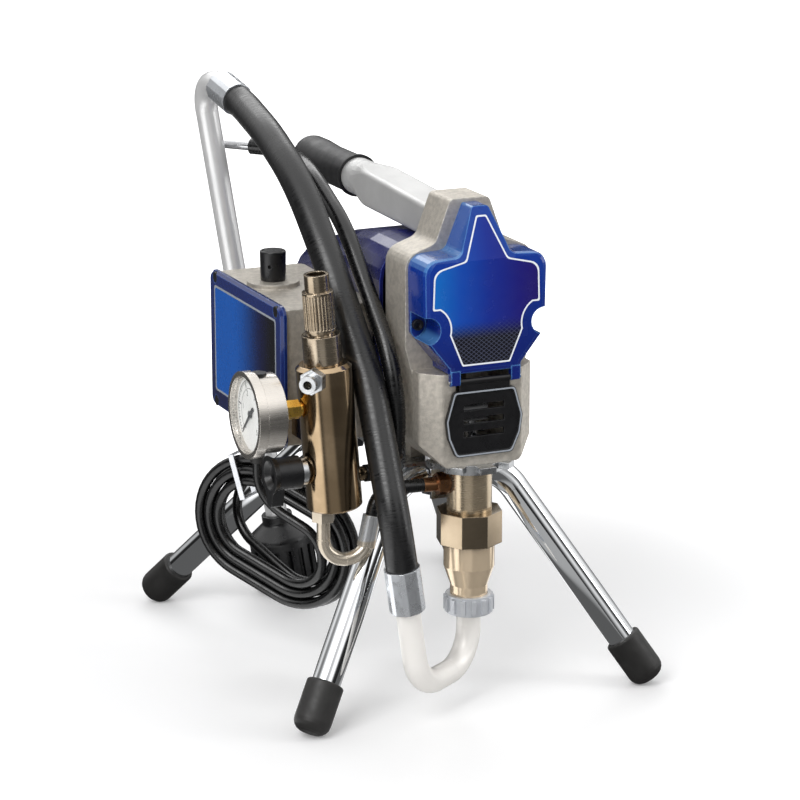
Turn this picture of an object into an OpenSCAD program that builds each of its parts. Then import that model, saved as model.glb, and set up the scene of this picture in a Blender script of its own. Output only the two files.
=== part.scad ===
// Stand-mounted electric airless paint sprayer: piston pump, geared motor, control box,
// filter manifold with gauge and prime valve, suction set and power cord.
// Pieces are laid out from the pump axis; the origin is the floor point amid the four feet.

/* [Stand] */
// Half the distance between the left and right leg ends
foot_x = 152; // [130:1:170]
// Front leg ends, measured from the pump axis
front_foot_y = -28; // [-50:1:-10]
// Rear leg ends, measured from the pump axis
rear_foot_y = 343; // [320:1:370]
// Outer diameter of the leg tube
leg_d = 24; // [20:1:28]
// Wall of the leg tube
leg_wall = 2; // [1.5:0.5:3]
// Bend radius of the leg tube
leg_bend = 40; // [34:1:46]
// Height of the cross bar's centre line
leg_bar_z = 186; // [178:1:190]
// Half the distance between the corners of a cross bar
leg_corner_x = 46; // [40:1:60]
// Cross bar of the front legs, measured from the pump axis
front_bar_y = 42; // [40:1:46]
// Cross bar of the rear legs, measured from the pump axis
rear_bar_y = 198; // [190:1:206]
// Outer diameter of a rubber leg cap
cap_d = 31; // [28:1:36]
// Length of tube inside a leg cap
cap_len = 35; // [28:1:50]
// Rubber below the end of the tube
cap_end = 8; // [6:1:12]
// Rounding of the cap's closed end
cap_round = 10; // [6:1:12]
// Depth of the worn flat under a cap
foot_flat = 0.6; // [0.4:0.1:1.2]
// Width of the sheet bracket that joins the legs
bracket_w = 92; // [80:1:110]
// Depth of the bracket's end flanges
bracket_drop = 33; // [20:1:36]
// Sheet thickness of the bracket
bracket_t = 3; // [2:0.5:4]

/* [Drive housing] */
// Half width of the casting
housing_hw = 56; // [55:1:60]
// Half width of the pump block below the cover
block_hw = 50; // [44:1:52]
// Underside of the pump block
block_bottom_z = 209; // [208:1:214]
// Front face of the pump block
block_front_y = -24; // [-28:1:-22]
// Back face of the casting
housing_back_y = 42; // [40:1:46]
// Height of the crank axis
crank_z = 342; // [338:1:344]
// Throw of the crank, half the pump's stroke
crank_r = 12; // [8:1:13]
// Teeth of the crank gear
gear_teeth = 48; // [44:1:52]
// Teeth of the motor pinion
pinion_teeth = 14; // [13:1:16]
// Tooth module of the gear pair
tooth_module = 1.2; // [1:0.05:1.25]
// Width of the crank gear
gear_w = 13; // [8:1:14]
// Outer diameter of the crank bearing
bearing_d = 35; // [32:1:38]
// Shaft diameter in the crank bearing
crank_shaft_d = 17; // [14:1:20]

/* [Front cover] */
// Half width of the cover
cover_hw = 54; // [52:1:55]
// Top of the cover's nose
cover_top_z = 420; // [416:1:422]
// Half width of the nose at its tip
cover_tip_hw = 7; // [4:1:10]
// Half width of the nose at its root
cover_neck_hw = 22; // [18:1:26]
// Height where the nose meets the shoulders
cover_neck_z = 383; // [380:1:388]
// Underside of the cover
cover_bottom_z = 287; // [286:1:290]
// Half width of the cover's lower edge
cover_bottom_hw = 32; // [30:1:36]
// Front plane of the cover
cover_front_y = -30; // [-32:1:-28]
// Back edge of the cover
cover_back_y = 3; // [2:1:5]
// Wall of the cover
cover_wall = 3; // [2:0.5:4]
// Bevel round the front face
cover_bevel = 4; // [2:0.5:5]
// Backward lean of the nose, in degrees
cover_lean = 19; // [14:1:24]
// Height of the side screws
cover_screw_z = 325; // [322:1:328]
// Radius of the screw scallops
scallop_r = 11; // [8:1:12]
// Thickness of the pump door
door_t = 3.5; // [3:0.5:5]
// Half width of the pump door at its widest
door_hw = 34; // [30:1:35]
// Lower edge of the pump door
door_bottom_z = 218; // [216:1:224]
// Height of the door's hinge pin
door_hinge_z = 280.5; // [280:0.5:281]

/* [Motor] */
// Diameter of the motor can
motor_d = 96; // [90:1:100]
// Length of the motor can
motor_len = 128; // [110:1:135]
// Diameter of the armature
armature_d = 58; // [50:1:62]
// Half width of the shroud
shroud_hw = 57; // [55:1:59]
// Top of the shroud
shroud_top_z = 380; // [376:1:382]
// Lower edge of the shroud's sides
shroud_bottom_z = 262; // [255:1:275]
// Rear face of the shroud
shroud_back_y = 244; // [236:1:250]
// Wall of the shroud
shroud_wall = 3; // [2:0.5:4]

/* [Handle] */
// Height of the handle's centre line
handle_z = 401; // [399:1:406]
// Half width of the arm at the casting
arm_hw = 17; // [14:1:20]
// Diameter of the arm's round end
arm_d = 32; // [28:1:34]
// Where the arm becomes round
arm_round_y = 212; // [200:1:222]
// Start of the rubber grip
grip_start_y = 228; // [225:1:240]
// End of the rubber grip
grip_end_y = 342; // [320:1:360]
// Diameter of the rubber grip
grip_d = 37; // [34:1:40]
// Diameter of the bar inside the grip
grip_bar_d = 22; // [18:1:26]

/* [Pump] */
// Diameter of the pump rod
rod_d = 14; // [12:1:16]
// Bore of the pump cylinder
pump_bore = 24; // [22:1:26]
// Outer diameter of the pump cylinder
cylinder_d = 37; // [36:1:40]
// Lower shoulder of the pump cylinder
cylinder_bottom_z = 165; // [160:1:168]
// Width of the star-shaped jam nut
jam_nut_d = 72; // [60:1:74]
// Thickness of the jam nut
jam_nut_t = 8; // [6:1:8.5]
// Width of the intake housing across its corners
intake_hex_d = 55; // [50:1:60]
// Height of the intake housing's faceted part
intake_hex_h = 27; // [20:1:30]
// Diameter of the intake housing below the facets
intake_d = 42; // [38:1:44]
// Diameter of the intake's threaded neck
intake_neck_d = 31; // [30:1:33]
// Lower end of the intake housing
intake_bottom_z = 87; // [85:1:89]
// Diameter of the intake ball
ball_d = 18; // [16:1:19]
// Lift of the intake ball
ball_lift = 4; // [2:0.5:5]
// Bore of the valve seat
seat_bore = 12; // [10:1:13]

/* [Suction] */
// Outer diameter of the suction pipe and tube
pipe_d = 20; // [18:1:21]
// Wall of the suction pipe and tube
pipe_wall = 1.5; // [1:0.25:2]
// Outer diameter of the suction hose
hose_d = 26; // [25:0.5:26.5]
// Diameter of the crimped ferrules
ferrule_d = 29; // [28:0.5:31]
// Diameter of the suction nut
suction_nut_d = 42; // [38:1:46]
// Lower end of the suction nut
suction_nut_z = 77; // [74:1:78]
// Diameter of the strainer
strainer_d = 58; // [44:1:62]
// Height of the strainer
strainer_h = 62; // [50:1:70]
// Outer diameter of the drain hose
drain_d = 14; // [12:1:15]
// Outer diameter of the drain tube
drain_tube_d = 8; // [6:1:9]

/* [Control box] */
// Depth of the control box
box_depth = 79; // [70:1:84]
// Front face of the control box
box_front_y = 60; // [58:1:66]
// Length of the control box
box_len = 158; // [140:1:170]
// Underside of the control box
box_bottom_z = 218; // [214:1:224]
// Height of the control box
box_h = 113; // [100:1:116]
// Wall of the control box
box_wall = 5; // [4:0.5:6]
// Rim of the cover plate beyond the box
plate_rim = 3; // [2:0.5:5]
// Thickness of the cover plate
plate_t = 5; // [4:0.5:7]
// Diameter of the pressure knob
knob_d = 22; // [18:1:26]
// Height of the pressure knob
knob_h = 25; // [20:1:32]

/* [Filter] */
// Filter axis at its lower end, across
filter_x = -115; // [-118:1:-113]
// Filter axis, measured from the pump axis
filter_y = 10; // [8:1:12]
// Lower end of the filter body
filter_z = 179; // [176:1:182]
// Sideways lean of the filter, in degrees
filter_lean = 4.4; // [3:0.2:5]
// Diameter of the filter body
filter_d = 45; // [42:1:46]
// Length of the filter body
filter_len = 120; // [112:1:124]
// Diameter of the filter's neck
filter_neck_d = 31; // [28:1:32]
// Diameter of the knurled cap
filter_cap_d = 25; // [22:1:28]
// Height of the gauge
gauge_z = 263; // [260:1:266]
// Diameter of the gauge's bezel
bezel_d = 70; // [64:1:72]
// Diameter of the gauge's case
gauge_d = 64; // [58:1:66]
// Depth of the gauge's case
gauge_depth = 25; // [22:1:32]
// Front of the gauge, measured from the pump axis
gauge_front_x = -192; // [-194:1:-189]
// Height of the prime valve
valve_z = 211; // [209:1:213]
// Diameter of the prime valve's handle
valve_d = 27; // [24:1:29]
// Thread diameter of the spray hose outlet
outlet_d = 14; // [12:0.5:16]
// Free length of the spray hose outlet
outlet_len = 9; // [7:1:12]

/* [Cord] */
// Diameter of the power cord
cord_d = 8.5; // [7.5:0.1:8.6]
// Loops in each layer of the coil
coil_loops = 3; // [2:1:3]
// Half length of the innermost loop's straight run
coil_run = 24; // [20:1:28]
// Radius of the innermost loop's round ends
coil_r = 26; // [25:1:28]

/* [Hidden] */
$fn = 64;
// Radial clearance of running fits and of seats
fit = 0.05;
// Clearance between faces that pass each other
pass = 0.4;
// Overshoot of cuts
over = 1;
// Segments of a rounded corner
corner_steps = 5;
stand_mid_y = (front_foot_y + rear_foot_y) / 2;

function unit(v) = v / norm(v);
function clamp1(x) = min(1, max(-1, x));
function turn(a, b, c) = acos(clamp1(unit(b - a) * unit(c - b)));
function last(v) = v[len(v) - 1];
function polar(r, a) = [r * cos(a), r * sin(a)];
// Closes a right-hand half outline, listed from the top down, with its mirror image
function mirrored(half) = concat(half, [for (i = [len(half) - 1:-1:0]) [-half[i].x, half[i].y]]);
function doubled(r) = concat(r, [for (i = [len(r) - 1:-1:0]) r[i]]);
function edge_in(a, b) = let (d = unit(b - a)) [d.y, -d.x];
// Moves every edge of a clockwise outline inwards by d
function inset(pts, d) = [
  for (i = [0:len(pts) - 1])
    let (
      n = len(pts),
      p = edge_in(pts[(i + n - 1) % n], pts[i]),
      q = edge_in(pts[i], pts[(i + 1) % n])
    )
    pts[i] + d * (p + q) / (1 + p * q)
];
// Rounds each corner of an outline with its own radius
function rounded(pts, radii) = [
  for (i = [0:len(pts) - 1])
    let (
      n = len(pts),
      b = pts[i],
      u = unit(b - pts[(i + n - 1) % n]),
      w = unit(pts[(i + 1) % n] - b),
      t = acos(clamp1(u * w)),
      r = radii[i],
      inward = unit(w - (w * u) * u),
      start = b - u * r * tan(t / 2)
    )
    each (r == 0 ? [b] : [
      for (s = [0:corner_steps])
        let (a = t * s / corner_steps) start + inward * r * (1 - cos(a)) + u * r * sin(a)
    ])
];
function box_outline(hw, z0, z1) = [[hw, z1], [hw, z0], [-hw, z0], [-hw, z1]];
// Lays a flat outline upright at distance y from the pump axis
function upright(outline, y) = [for (p = outline) [p.x, y, p.y]];

// Points the children's Z axis along a direction
module along(p, dir) {
  translate(p) rotate([0, acos(clamp1(unit(dir).z)), atan2(dir.y, dir.x)]) children();
}
// Solid through matching rings, listed front to back; split draws its sides as triangles
module loft(rings, split = false) {
  n = len(rings[0]);
  m = len(rings);
  polyhedron(
    points = [for (r = rings) each r],
    faces = concat(
      [[for (i = [0:n - 1]) i]],
      [for (k = [0:m - 2], i = [0:n - 1])
        let (j = (i + 1) % n, a = k * n + i, b = (k + 1) * n + i, c = (k + 1) * n + j, d = k * n + j)
        each split ? [[a, b, c], [a, c, d]] : [[a, b, c, d]]],
      [[for (i = [n - 1:-1:0]) (m - 1) * n + i]]
    )
  );
}
// Upright outline carried from y0 back to y1
module slab(outline, y0, y1) {
  translate([0, y1, 0]) rotate([90, 0, 0]) linear_extrude(y1 - y0) polygon(outline);
}
// Cylinder along Y
module y_rod(d, y0, y1, x = 0, z = 0) {
  translate([x, y0, z]) rotate([-90, 0, 0]) cylinder(d = d, h = y1 - y0);
}
// Cylinder along X
module x_rod(d, x0, x1, y = 0, z = 0) {
  translate([x0, y, z]) rotate([0, 90, 0]) cylinder(d = d, h = x1 - x0);
}
module hex_bar(across, h) {
  cylinder(d = across / cos(30), h = h, $fn = 6);
}
// A bend is a hair thicker than its straights and laps over their ends
bend_step = 0.2;
bend_lap = 0.6;
module elbow(a, b, c, r, d) {
  u = unit(b - a);
  w = unit(c - b);
  t = turn(a, b, c);
  inward = unit(w - (w * u) * u);
  centre = b - u * r * tan(t / 2) + inward * r;
  side = cross(-inward, u);
  multmatrix([
    [-inward.x, u.x, side.x, centre.x],
    [-inward.y, u.y, side.y, centre.y],
    [-inward.z, u.z, side.z, centre.z],
    [0, 0, 0, 1]
  ]) rotate_extrude(angle = t) translate([r, 0]) circle(d = d);
}
// Round bar through points, bent at each inner point, with its ends drawn out by extra
module bent_bar(pts, bends, d, extra = 0) {
  n = len(pts);
  cut = [for (i = [0:n - 1])
    i == 0 || i == n - 1 ? -extra : bends[i - 1] * tan(turn(pts[i - 1], pts[i], pts[i + 1]) / 2) - bend_lap];
  for (i = [0:n - 2]) {
    dir = unit(pts[i + 1] - pts[i]);
    along(pts[i] + dir * cut[i], dir)
      cylinder(d = d, h = norm(pts[i + 1] - pts[i]) - cut[i] - cut[i + 1]);
  }
  for (i = [1:n - 2]) elbow(pts[i - 1], pts[i], pts[i + 1], bends[i - 1], d + bend_step);
}
module bent_tube(pts, bends, d, bore) {
  difference() {
    bent_bar(pts, bends, d);
    bent_bar(pts, bends, bore, over);
  }
}

// Stand
function leg_up(foot_y, bar_y) = unit([leg_corner_x - foot_x, bar_y - foot_y, leg_bar_z - cap_round]).z;
// Height of a leg's end, so that the cap's rounded end is cut by foot_flat at the floor
function foot_end_z(foot_y, bar_y) =
  let (up = leg_up(foot_y, bar_y))
  cap_round - foot_flat + (cap_d / 2 - cap_round) * sqrt(1 - up * up) + (cap_end - cap_round) * up;
bracket_top_z = leg_bar_z + leg_d / 2 + bracket_t;
bracket_front_y = front_bar_y - leg_d / 2 - pass - bracket_t;
bracket_back_y = rear_bar_y + leg_d / 2 + pass + bracket_t;
stand_bolt_d = 8;
stand_bolt_x = 16;
flange_hw = 22;
function leg_points(foot_y, bar_y) = [
  [-foot_x, foot_y, foot_end_z(foot_y, bar_y)],
  [-leg_corner_x, bar_y, leg_bar_z],
  [leg_corner_x, bar_y, leg_bar_z],
  [foot_x, foot_y, foot_end_z(foot_y, bar_y)]
];
module legs(foot_y, bar_y) {
  bent_tube(leg_points(foot_y, bar_y), [leg_bend, leg_bend], leg_d, leg_d - 2 * leg_wall);
}
module front_legs() {
  color("gainsboro") difference() {
    legs(front_foot_y, front_bar_y);
    stand_bolt_holes(front_bar_y);
  }
}
module rear_legs() {
  color("gainsboro") difference() {
    legs(rear_foot_y, rear_bar_y);
    stand_bolt_holes(rear_bar_y);
  }
}
module leg_cap(side, foot_y, bar_y) {
  end = [side * foot_x, foot_y, foot_end_z(foot_y, bar_y)];
  lip_round = 2;
  profile = rounded(
    [[0, cap_len], [cap_d / 2, cap_len], [cap_d / 2, -cap_end], [0, -cap_end]],
    [0, lip_round, cap_round, 0]
  );
  difference() {
    along(end, [side * leg_corner_x, bar_y, leg_bar_z] - end) difference() {
      rotate_extrude() polygon(profile);
      cylinder(d = leg_d + 2 * fit, h = cap_len + over);
    }
    translate([end.x - cap_d, end.y - cap_d, -cap_d]) cube([2 * cap_d, 2 * cap_d, cap_d]);
  }
}
module leg_caps() {
  color("#202020") for (side = [-1, 1]) {
    leg_cap(side, front_foot_y, front_bar_y);
    leg_cap(side, rear_foot_y, rear_bar_y);
  }
}
module stand_bolt_holes(y) {
  for (side = [-1, 1])
    translate([side * stand_bolt_x, y, leg_bar_z - leg_d])
      cylinder(d = stand_bolt_d, h = 2 * leg_d);
}
module stand_bracket() {
  hw = bracket_w / 2;
  flange = [[hw, bracket_top_z], [hw, bracket_top_z - bracket_t], [flange_hw, bracket_top_z - bracket_t],
    [flange_hw, bracket_top_z - bracket_drop]];
  color("silver") difference() {
    union() {
      slab(mirrored(flange), bracket_front_y, bracket_front_y + bracket_t);
      slab(mirrored(flange), bracket_back_y - bracket_t, bracket_back_y);
      slab(box_outline(hw, bracket_top_z - bracket_t, bracket_top_z), bracket_front_y, bracket_back_y);
    }
    stand_bolt_holes(front_bar_y);
    stand_bolt_holes(rear_bar_y);
  }
}
module stand_bolts() {
  head_d = 13;
  head_h = 5;
  for (y = [front_bar_y, rear_bar_y], side = [-1, 1])
    translate([side * stand_bolt_x, y, 0]) {
      translate([0, 0, leg_bar_z - leg_d / 2 - head_h]) hex_bar(head_d, head_h);
      translate([0, 0, leg_bar_z - leg_d / 2]) cylinder(d = stand_bolt_d, h = leg_d + bracket_t);
    }
}

// Drive train layout, front to back
mesh_play = 0.1;
pressure_angle = 20;
tooth_backlash = 0.12;
tip_height = 0.8;
root_depth = 1.2;
gear_pitch_r = tooth_module * gear_teeth / 2;
pinion_pitch_r = tooth_module * pinion_teeth / 2;
motor_z = crank_z - gear_pitch_r - pinion_pitch_r - mesh_play;
rod_t = 12;
crank_face_y = rod_t / 2 + pass;
crank_pin_len = 1;
crank_disc_t = 4;
crank_disc_r = crank_r + 9;
web_front_y = crank_face_y + crank_pin_len + crank_disc_t + pass;
bearing_w = 10;
web_back_y = web_front_y + bearing_w;
gear_y = web_back_y + 2;
gear_room = 2.5;
pinion_room_r = pinion_pitch_r + 2 * tooth_module + gear_room;
gear_room_r = gear_pitch_r + tooth_module + gear_room;
bell_t = 10;
bell_back_y = housing_back_y + bell_t;
journal_d = 12;
journal_len = 7;
door_y = block_front_y - pass;
wrist_z = 262;
room_hw = 24;
room_back_y = 17;
room_floor_z = 219;
eye_z = crank_z - crank_r;

// Outline of the front cover, right half from the top down
cover_corner_drop = 2;
cover_side_drop = 7;
cover_taper = 1;
cover_foot_h = 5;
cover_corner_z = cover_neck_z - cover_corner_drop;
cover_side_z = cover_screw_z - cover_side_drop;
cover_half = [
  [cover_tip_hw, cover_top_z], [cover_neck_hw, cover_neck_z], [cover_hw, cover_corner_z],
  [cover_hw - cover_taper, cover_side_z], [cover_bottom_hw, cover_bottom_z + cover_foot_h],
  [cover_bottom_hw, cover_bottom_z]
];
cover_pts = mirrored(cover_half);
cover_radii = doubled([3, 8, 12, 5, 4, 2]);
function cover_outline(d) = rounded(inset(cover_pts, d), [
  for (i = [0:len(cover_radii) - 1])
    let (concave = i == 1 || i == len(cover_radii) - 2) max(0.5, cover_radii[i] + (concave ? d : -d))
]);
// Outline of the casting behind the cover, right half from the top down
housing_tip_hw = arm_hw;
housing_tip_up = 3;
housing_neck_out = 8;
housing_neck_up = 5;
housing_corner_drop = 2;
housing_side_drop = 20;
housing_waist_drop = 5;
block_corner = 18;
housing_half = [
  [housing_tip_hw, cover_top_z + housing_tip_up],
  [cover_neck_hw + housing_neck_out, cover_neck_z + housing_neck_up],
  [housing_hw, cover_corner_z - housing_corner_drop], [housing_hw, cover_screw_z - housing_side_drop],
  [block_hw, cover_bottom_z - housing_waist_drop],
  [block_hw, block_bottom_z + block_corner], [block_hw - block_corner, block_bottom_z]
];
housing_pts = mirrored(housing_half);
housing_outline = rounded(housing_pts, doubled([5, 10, 14, 10, 10, 6, 4]));
block_chamfer = 15;
// Plan of the pump block in front of the casting, right half from the back
block_half = [
  [block_hw, -cover_back_y], [block_hw, -block_front_y - block_chamfer],
  [block_hw - block_chamfer, -block_front_y]
];
module drive_housing() {
  color("silver") difference() {
    union() {
      slab(housing_outline, cover_back_y, housing_back_y);
      intersection() {
        translate([0, 0, block_bottom_z]) linear_extrude(cover_bottom_z - pass - block_bottom_z)
          mirror([0, 1]) polygon(rounded(mirrored(block_half), doubled([0, 4, 4])));
        slab(housing_outline, block_front_y - over, housing_back_y);
      }
    }
    intersection() {
      slab(cover_outline(2 * cover_wall), cover_back_y - over, web_front_y);
      slab(box_outline(cover_hw, cover_bottom_z, eye_room_z), cover_back_y - over, web_front_y);
    }
    translate([-room_hw, block_front_y - over, room_floor_z])
      cube([2 * room_hw, room_back_y - block_front_y + over, room_top_z - room_floor_z]);
    y_rod(bearing_d, web_front_y - over, web_back_y + over, 0, crank_z);
    y_rod(2 * gear_room_r, web_back_y, housing_back_y + over, 0, crank_z);
    y_rod(2 * pinion_room_r, web_back_y, housing_back_y + over, 0, motor_z);
    translate([0, 0, block_bottom_z - over])
      cylinder(d = neck_d + 2 * fit, h = 2 * over + room_floor_z - block_bottom_z);
    for (side = [-1, 1]) {
      y_rod(side_hole_d, cover_back_y - over, housing_back_y + over, side * side_hole_x, side_hole_z);
      y_rod(screw_d, cover_back_y - over, web_back_y, side * cover_screw_x, cover_screw_z);
    }
  }
}
side_hole_d = 9;
side_hole_in = 9;
side_hole_up = 30;
side_hole_x = block_hw - side_hole_in;
side_hole_z = block_bottom_z + side_hole_up;

// Front cover and its screws
screw_d = 5;
screw_head_d = 9;
screw_head_h = 4;
screw_flange_t = 4;
cover_screw_in = 6;
cover_screw_x = cover_hw - cover_screw_in;
lug_w = 8;
lug_r = 2.8;
lug_inset = 1.5;
lug_x = cover_bottom_hw - lug_w - lug_inset;
hinge_y = cover_front_y + lug_r;
hinge_pin_d = 3;
rod_slot_hw = room_hw + 1;
module lean_cut(depth) {
  translate([0, cover_front_y + depth, cover_neck_z - cover_bevel]) rotate([-cover_lean, 0, 0])
    translate([-2 * cover_hw, -4 * cover_hw, 0]) cube([4 * cover_hw, 4 * cover_hw, 4 * cover_hw]);
}
module front_cover() {
  scallop_floor_y = cover_back_y - screw_flange_t;
  color("#1b45a0") difference() {
    union() {
      difference() {
        loft([
          upright(cover_outline(cover_bevel), cover_front_y),
          upright(cover_outline(cover_bevel / 4), cover_front_y + cover_bevel / 4),
          upright(cover_outline(0), cover_front_y + cover_bevel),
          upright(cover_outline(0), cover_back_y + cover_wall)
        ]);
        lean_cut(0);
        translate([-2 * cover_hw, cover_back_y, 0])
          cube([4 * cover_hw, 2 * cover_wall, 2 * cover_top_z]);
        difference() {
          slab(cover_outline(cover_wall), cover_front_y + cover_wall, cover_back_y + over);
          lean_cut(cover_wall);
          for (side = [-1, 1])
            y_rod(2 * (scallop_r + cover_wall), cover_front_y, cover_back_y + 2 * over,
              side * cover_screw_x, cover_screw_z);
        }
      }
      for (side = [-1, 1]) translate([side * (lug_x + lug_w / 2), hinge_y, 0]) {
        translate([-lug_w / 2, -lug_r, door_hinge_z])
          cube([lug_w, 2 * lug_r, cover_bottom_z + cover_wall - door_hinge_z]);
        x_rod(2 * lug_r, -lug_w / 2, lug_w / 2, 0, door_hinge_z);
      }
    }
    for (side = [-1, 1]) {
      y_rod(2 * scallop_r, cover_front_y - over, scallop_floor_y, side * (cover_screw_x + 3), cover_screw_z);
      y_rod(screw_d + 2 * fit, cover_front_y, cover_back_y + over, side * cover_screw_x, cover_screw_z);
    }
    translate([-rod_slot_hw, block_front_y, cover_bottom_z - over])
      cube([2 * rod_slot_hw, cover_back_y - block_front_y + over, 2 * cover_wall + 2 * over]);
    x_rod(hinge_pin_d, -cover_hw, cover_hw, hinge_y, door_hinge_z);
  }
}
module cover_screws() {
  head_y = cover_back_y - screw_flange_t;
  for (side = [-1, 1]) difference() {
    union() {
      y_rod(screw_d, head_y, web_back_y, side * cover_screw_x, cover_screw_z);
      y_rod(screw_head_d, head_y - screw_head_h, head_y, side * cover_screw_x, cover_screw_z);
    }
    translate([side * cover_screw_x, head_y - screw_head_h / 2, cover_screw_z]) rotate([90, 0, 0])
      hex_bar(screw_d, screw_head_h);
  }
}

// Pump door: a plain tapering shield with three louvres
door_top_in = 7;
door_top_drop = 8;
door_wide_drop = 32;
door_low_in = 2;
door_low_up = 16;
door_foot_in = 9;
door_half = [
  [door_hw - door_top_in, door_hinge_z - door_top_drop], [door_hw, door_hinge_z - door_wide_drop],
  [door_hw - door_low_in, door_bottom_z + door_low_up], [door_hw - door_foot_in, door_bottom_z]
];
door_rim = 2.4;
door_rim_h = 1;
leaf_h = 9;
louvre_in = 16;
louvre_up = 16;
louvre_hw = door_hw - louvre_in;
louvre_h = 5;
louvre_pitch = 11;
louvre_count = 3;
barrel_r = 2.6;
barrel_hw = lug_x - pass;
module pump_door() {
  outline = mirrored(door_half);
  radii = doubled([3, 8, 10, 4]);
  front = door_y - door_t;
  color("#1c1c1e") difference() {
    union() {
      slab(rounded(outline, radii), front, door_y);
      x_rod(2 * barrel_r, -barrel_hw, barrel_hw, hinge_y, door_hinge_z);
      translate([-barrel_hw, front, door_hinge_z - leaf_h]) cube([2 * barrel_hw, door_t, leaf_h]);
    }
    slab(rounded(inset(outline, door_rim), radii), front - over, front + door_rim_h);
    for (i = [0:louvre_count - 1])
      translate([-louvre_hw, front, door_bottom_z + louvre_up + i * louvre_pitch])
        cube([2 * louvre_hw, door_t + over, louvre_h]);
    x_rod(hinge_pin_d + 2 * fit, -cover_hw, cover_hw, hinge_y, door_hinge_z);
  }
}
module door_hinge_pin() {
  color("silver") x_rod(hinge_pin_d, -cover_bottom_hw, cover_bottom_hw, hinge_y, door_hinge_z);
}

// Handle
arm_gap = 1.5;
arm_root_drop = 11;
arm_root_z0 = shroud_top_z + arm_gap;
arm_root_z1 = cover_top_z - arm_root_drop;
arm_top_z = handle_z + arm_d / 2;
arm_low_z = handle_z - arm_d / 2;
arm_edge_r = 4;
// Share of the arm's length that stays flat-sided, before it turns round
arm_flat = 0.8;
arm_slices = 6;
arm_stations = concat([0], [for (i = [0:arm_slices]) arm_flat + (1 - arm_flat) * i / arm_slices]);
function arm_ring(s) =
  let (
    e = smooth((s - arm_flat) / (1 - arm_flat)),
    hw = arm_hw + (arm_d / 2 - arm_hw) * e,
    z1 = arm_root_z1 + (arm_top_z - arm_root_z1) * s,
    z0 = arm_root_z0 + (arm_low_z - arm_root_z0) * s,
    r = arm_edge_r + (arm_d / 2 - fit - arm_edge_r) * e
  )
  rounded(box_outline(hw, z0, z1), [r, r, r, r]);
module handle_arm() {
  color("silver") {
    loft([for (s = arm_stations) upright(arm_ring(s), housing_back_y + (arm_round_y - housing_back_y) * s)]);
    y_rod(arm_d, arm_round_y, grip_start_y, 0, handle_z);
    y_rod(grip_bar_d, grip_start_y, grip_end_y - grip_d / 4, 0, handle_z);
  }
}
module handle_grip() {
  wall_end = grip_end_y - grip_d / 4;
  end_r = grip_d / 3;
  len = grip_end_y - grip_start_y;
  waist_d = grip_d - 3;
  profile = rounded(
    [[0, len], [grip_d / 2, len], [grip_d / 2, len - 30], [waist_d / 2, len / 2], [waist_d / 2, 4],
      [grip_d / 2, 3], [grip_d / 2, 0], [0, 0]],
    [0, end_r, 20, 40, 0, 0, 0, 0]
  );
  color("#1e1e1e") difference() {
    translate([0, grip_start_y, handle_z]) rotate([-90, 0, 0]) rotate_extrude() polygon(profile);
    y_rod(grip_bar_d + 2 * fit, grip_start_y - over, wall_end, 0, handle_z);
  }
}

// Motor
rotor_shaft_d = 10;
rotor_bearing_d = 26;
can_wall = 4;
magnet_gap = 1;
brush_room = 40;
can_end_y = bell_back_y + motor_len;
rear_bell_t = 10;
rear_bell_end_y = can_end_y + rear_bell_t;
fan_t = 10;
fan_gap = 3;
foot_hw = 34;
fan_blades = 9;
module bell_foot(y0, y1) {
  translate([-foot_hw, y0, bracket_top_z]) cube([2 * foot_hw, y1 - y0, motor_z - bracket_top_z]);
}
module motor_front_bell() {
  color("silver") difference() {
    union() {
      y_rod(motor_d, housing_back_y, bell_back_y, 0, motor_z);
      y_rod(2 * gear_room_r, housing_back_y, bell_back_y, 0, crank_z);
      bell_foot(housing_back_y, bell_back_y);
    }
    y_rod(rotor_bearing_d, housing_back_y + 2, bell_back_y + over, 0, motor_z);
    y_rod(rotor_shaft_d + 2 * pass, housing_back_y - over, bell_back_y, 0, motor_z);
    y_rod(journal_d + 2 * fit, housing_back_y - over, housing_back_y + journal_len + pass, 0, crank_z);
  }
}
module motor_can() {
  bore = motor_d - 2 * can_wall;
  magnet_split = bore / 4;
  color("dimgray") difference() {
    union() {
      y_rod(motor_d, bell_back_y, rear_bell_end_y, 0, motor_z);
      bell_foot(can_end_y, rear_bell_end_y);
    }
    difference() {
      y_rod(bore, bell_back_y - over, can_end_y, 0, motor_z);
      difference() {
        y_rod(motor_d, bell_back_y + fan_t, can_end_y - brush_room, 0, motor_z);
        y_rod(armature_d + 2 * magnet_gap, bell_back_y, can_end_y, 0, motor_z);
        translate([-magnet_split / 2, bell_back_y, motor_z - bore]) cube([magnet_split, motor_len, 2 * bore]);
      }
    }
    y_rod(rotor_shaft_d + 2 * fit, can_end_y - over, rear_bell_end_y + over, 0, motor_z);
  }
}
inv_scale = 180 / PI;
function inv(a) = tan(a) * inv_scale - a;
function half_tooth(r, teeth) =
  let (pitch_r = tooth_module * teeth / 2, base_r = pitch_r * cos(pressure_angle))
  90 / teeth - tooth_backlash / pitch_r * inv_scale / 2 + inv(pressure_angle)
    - inv(acos(min(1, base_r / max(r, base_r))));
function gear_outline(teeth, phase) =
  let (
    pitch_r = tooth_module * teeth / 2,
    steps = [-root_depth, -0.5, 0.2, tip_height],
    rs = [for (s = steps) pitch_r + s * tooth_module]
  )
  [for (t = [0:teeth - 1]) let (mid = phase - t * 360 / teeth) each concat(
    [for (r = rs) polar(r, mid + half_tooth(r, teeth))],
    [for (i = [len(rs) - 1:-1:0]) polar(rs[i], mid - half_tooth(rs[i], teeth))]
  )];
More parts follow.
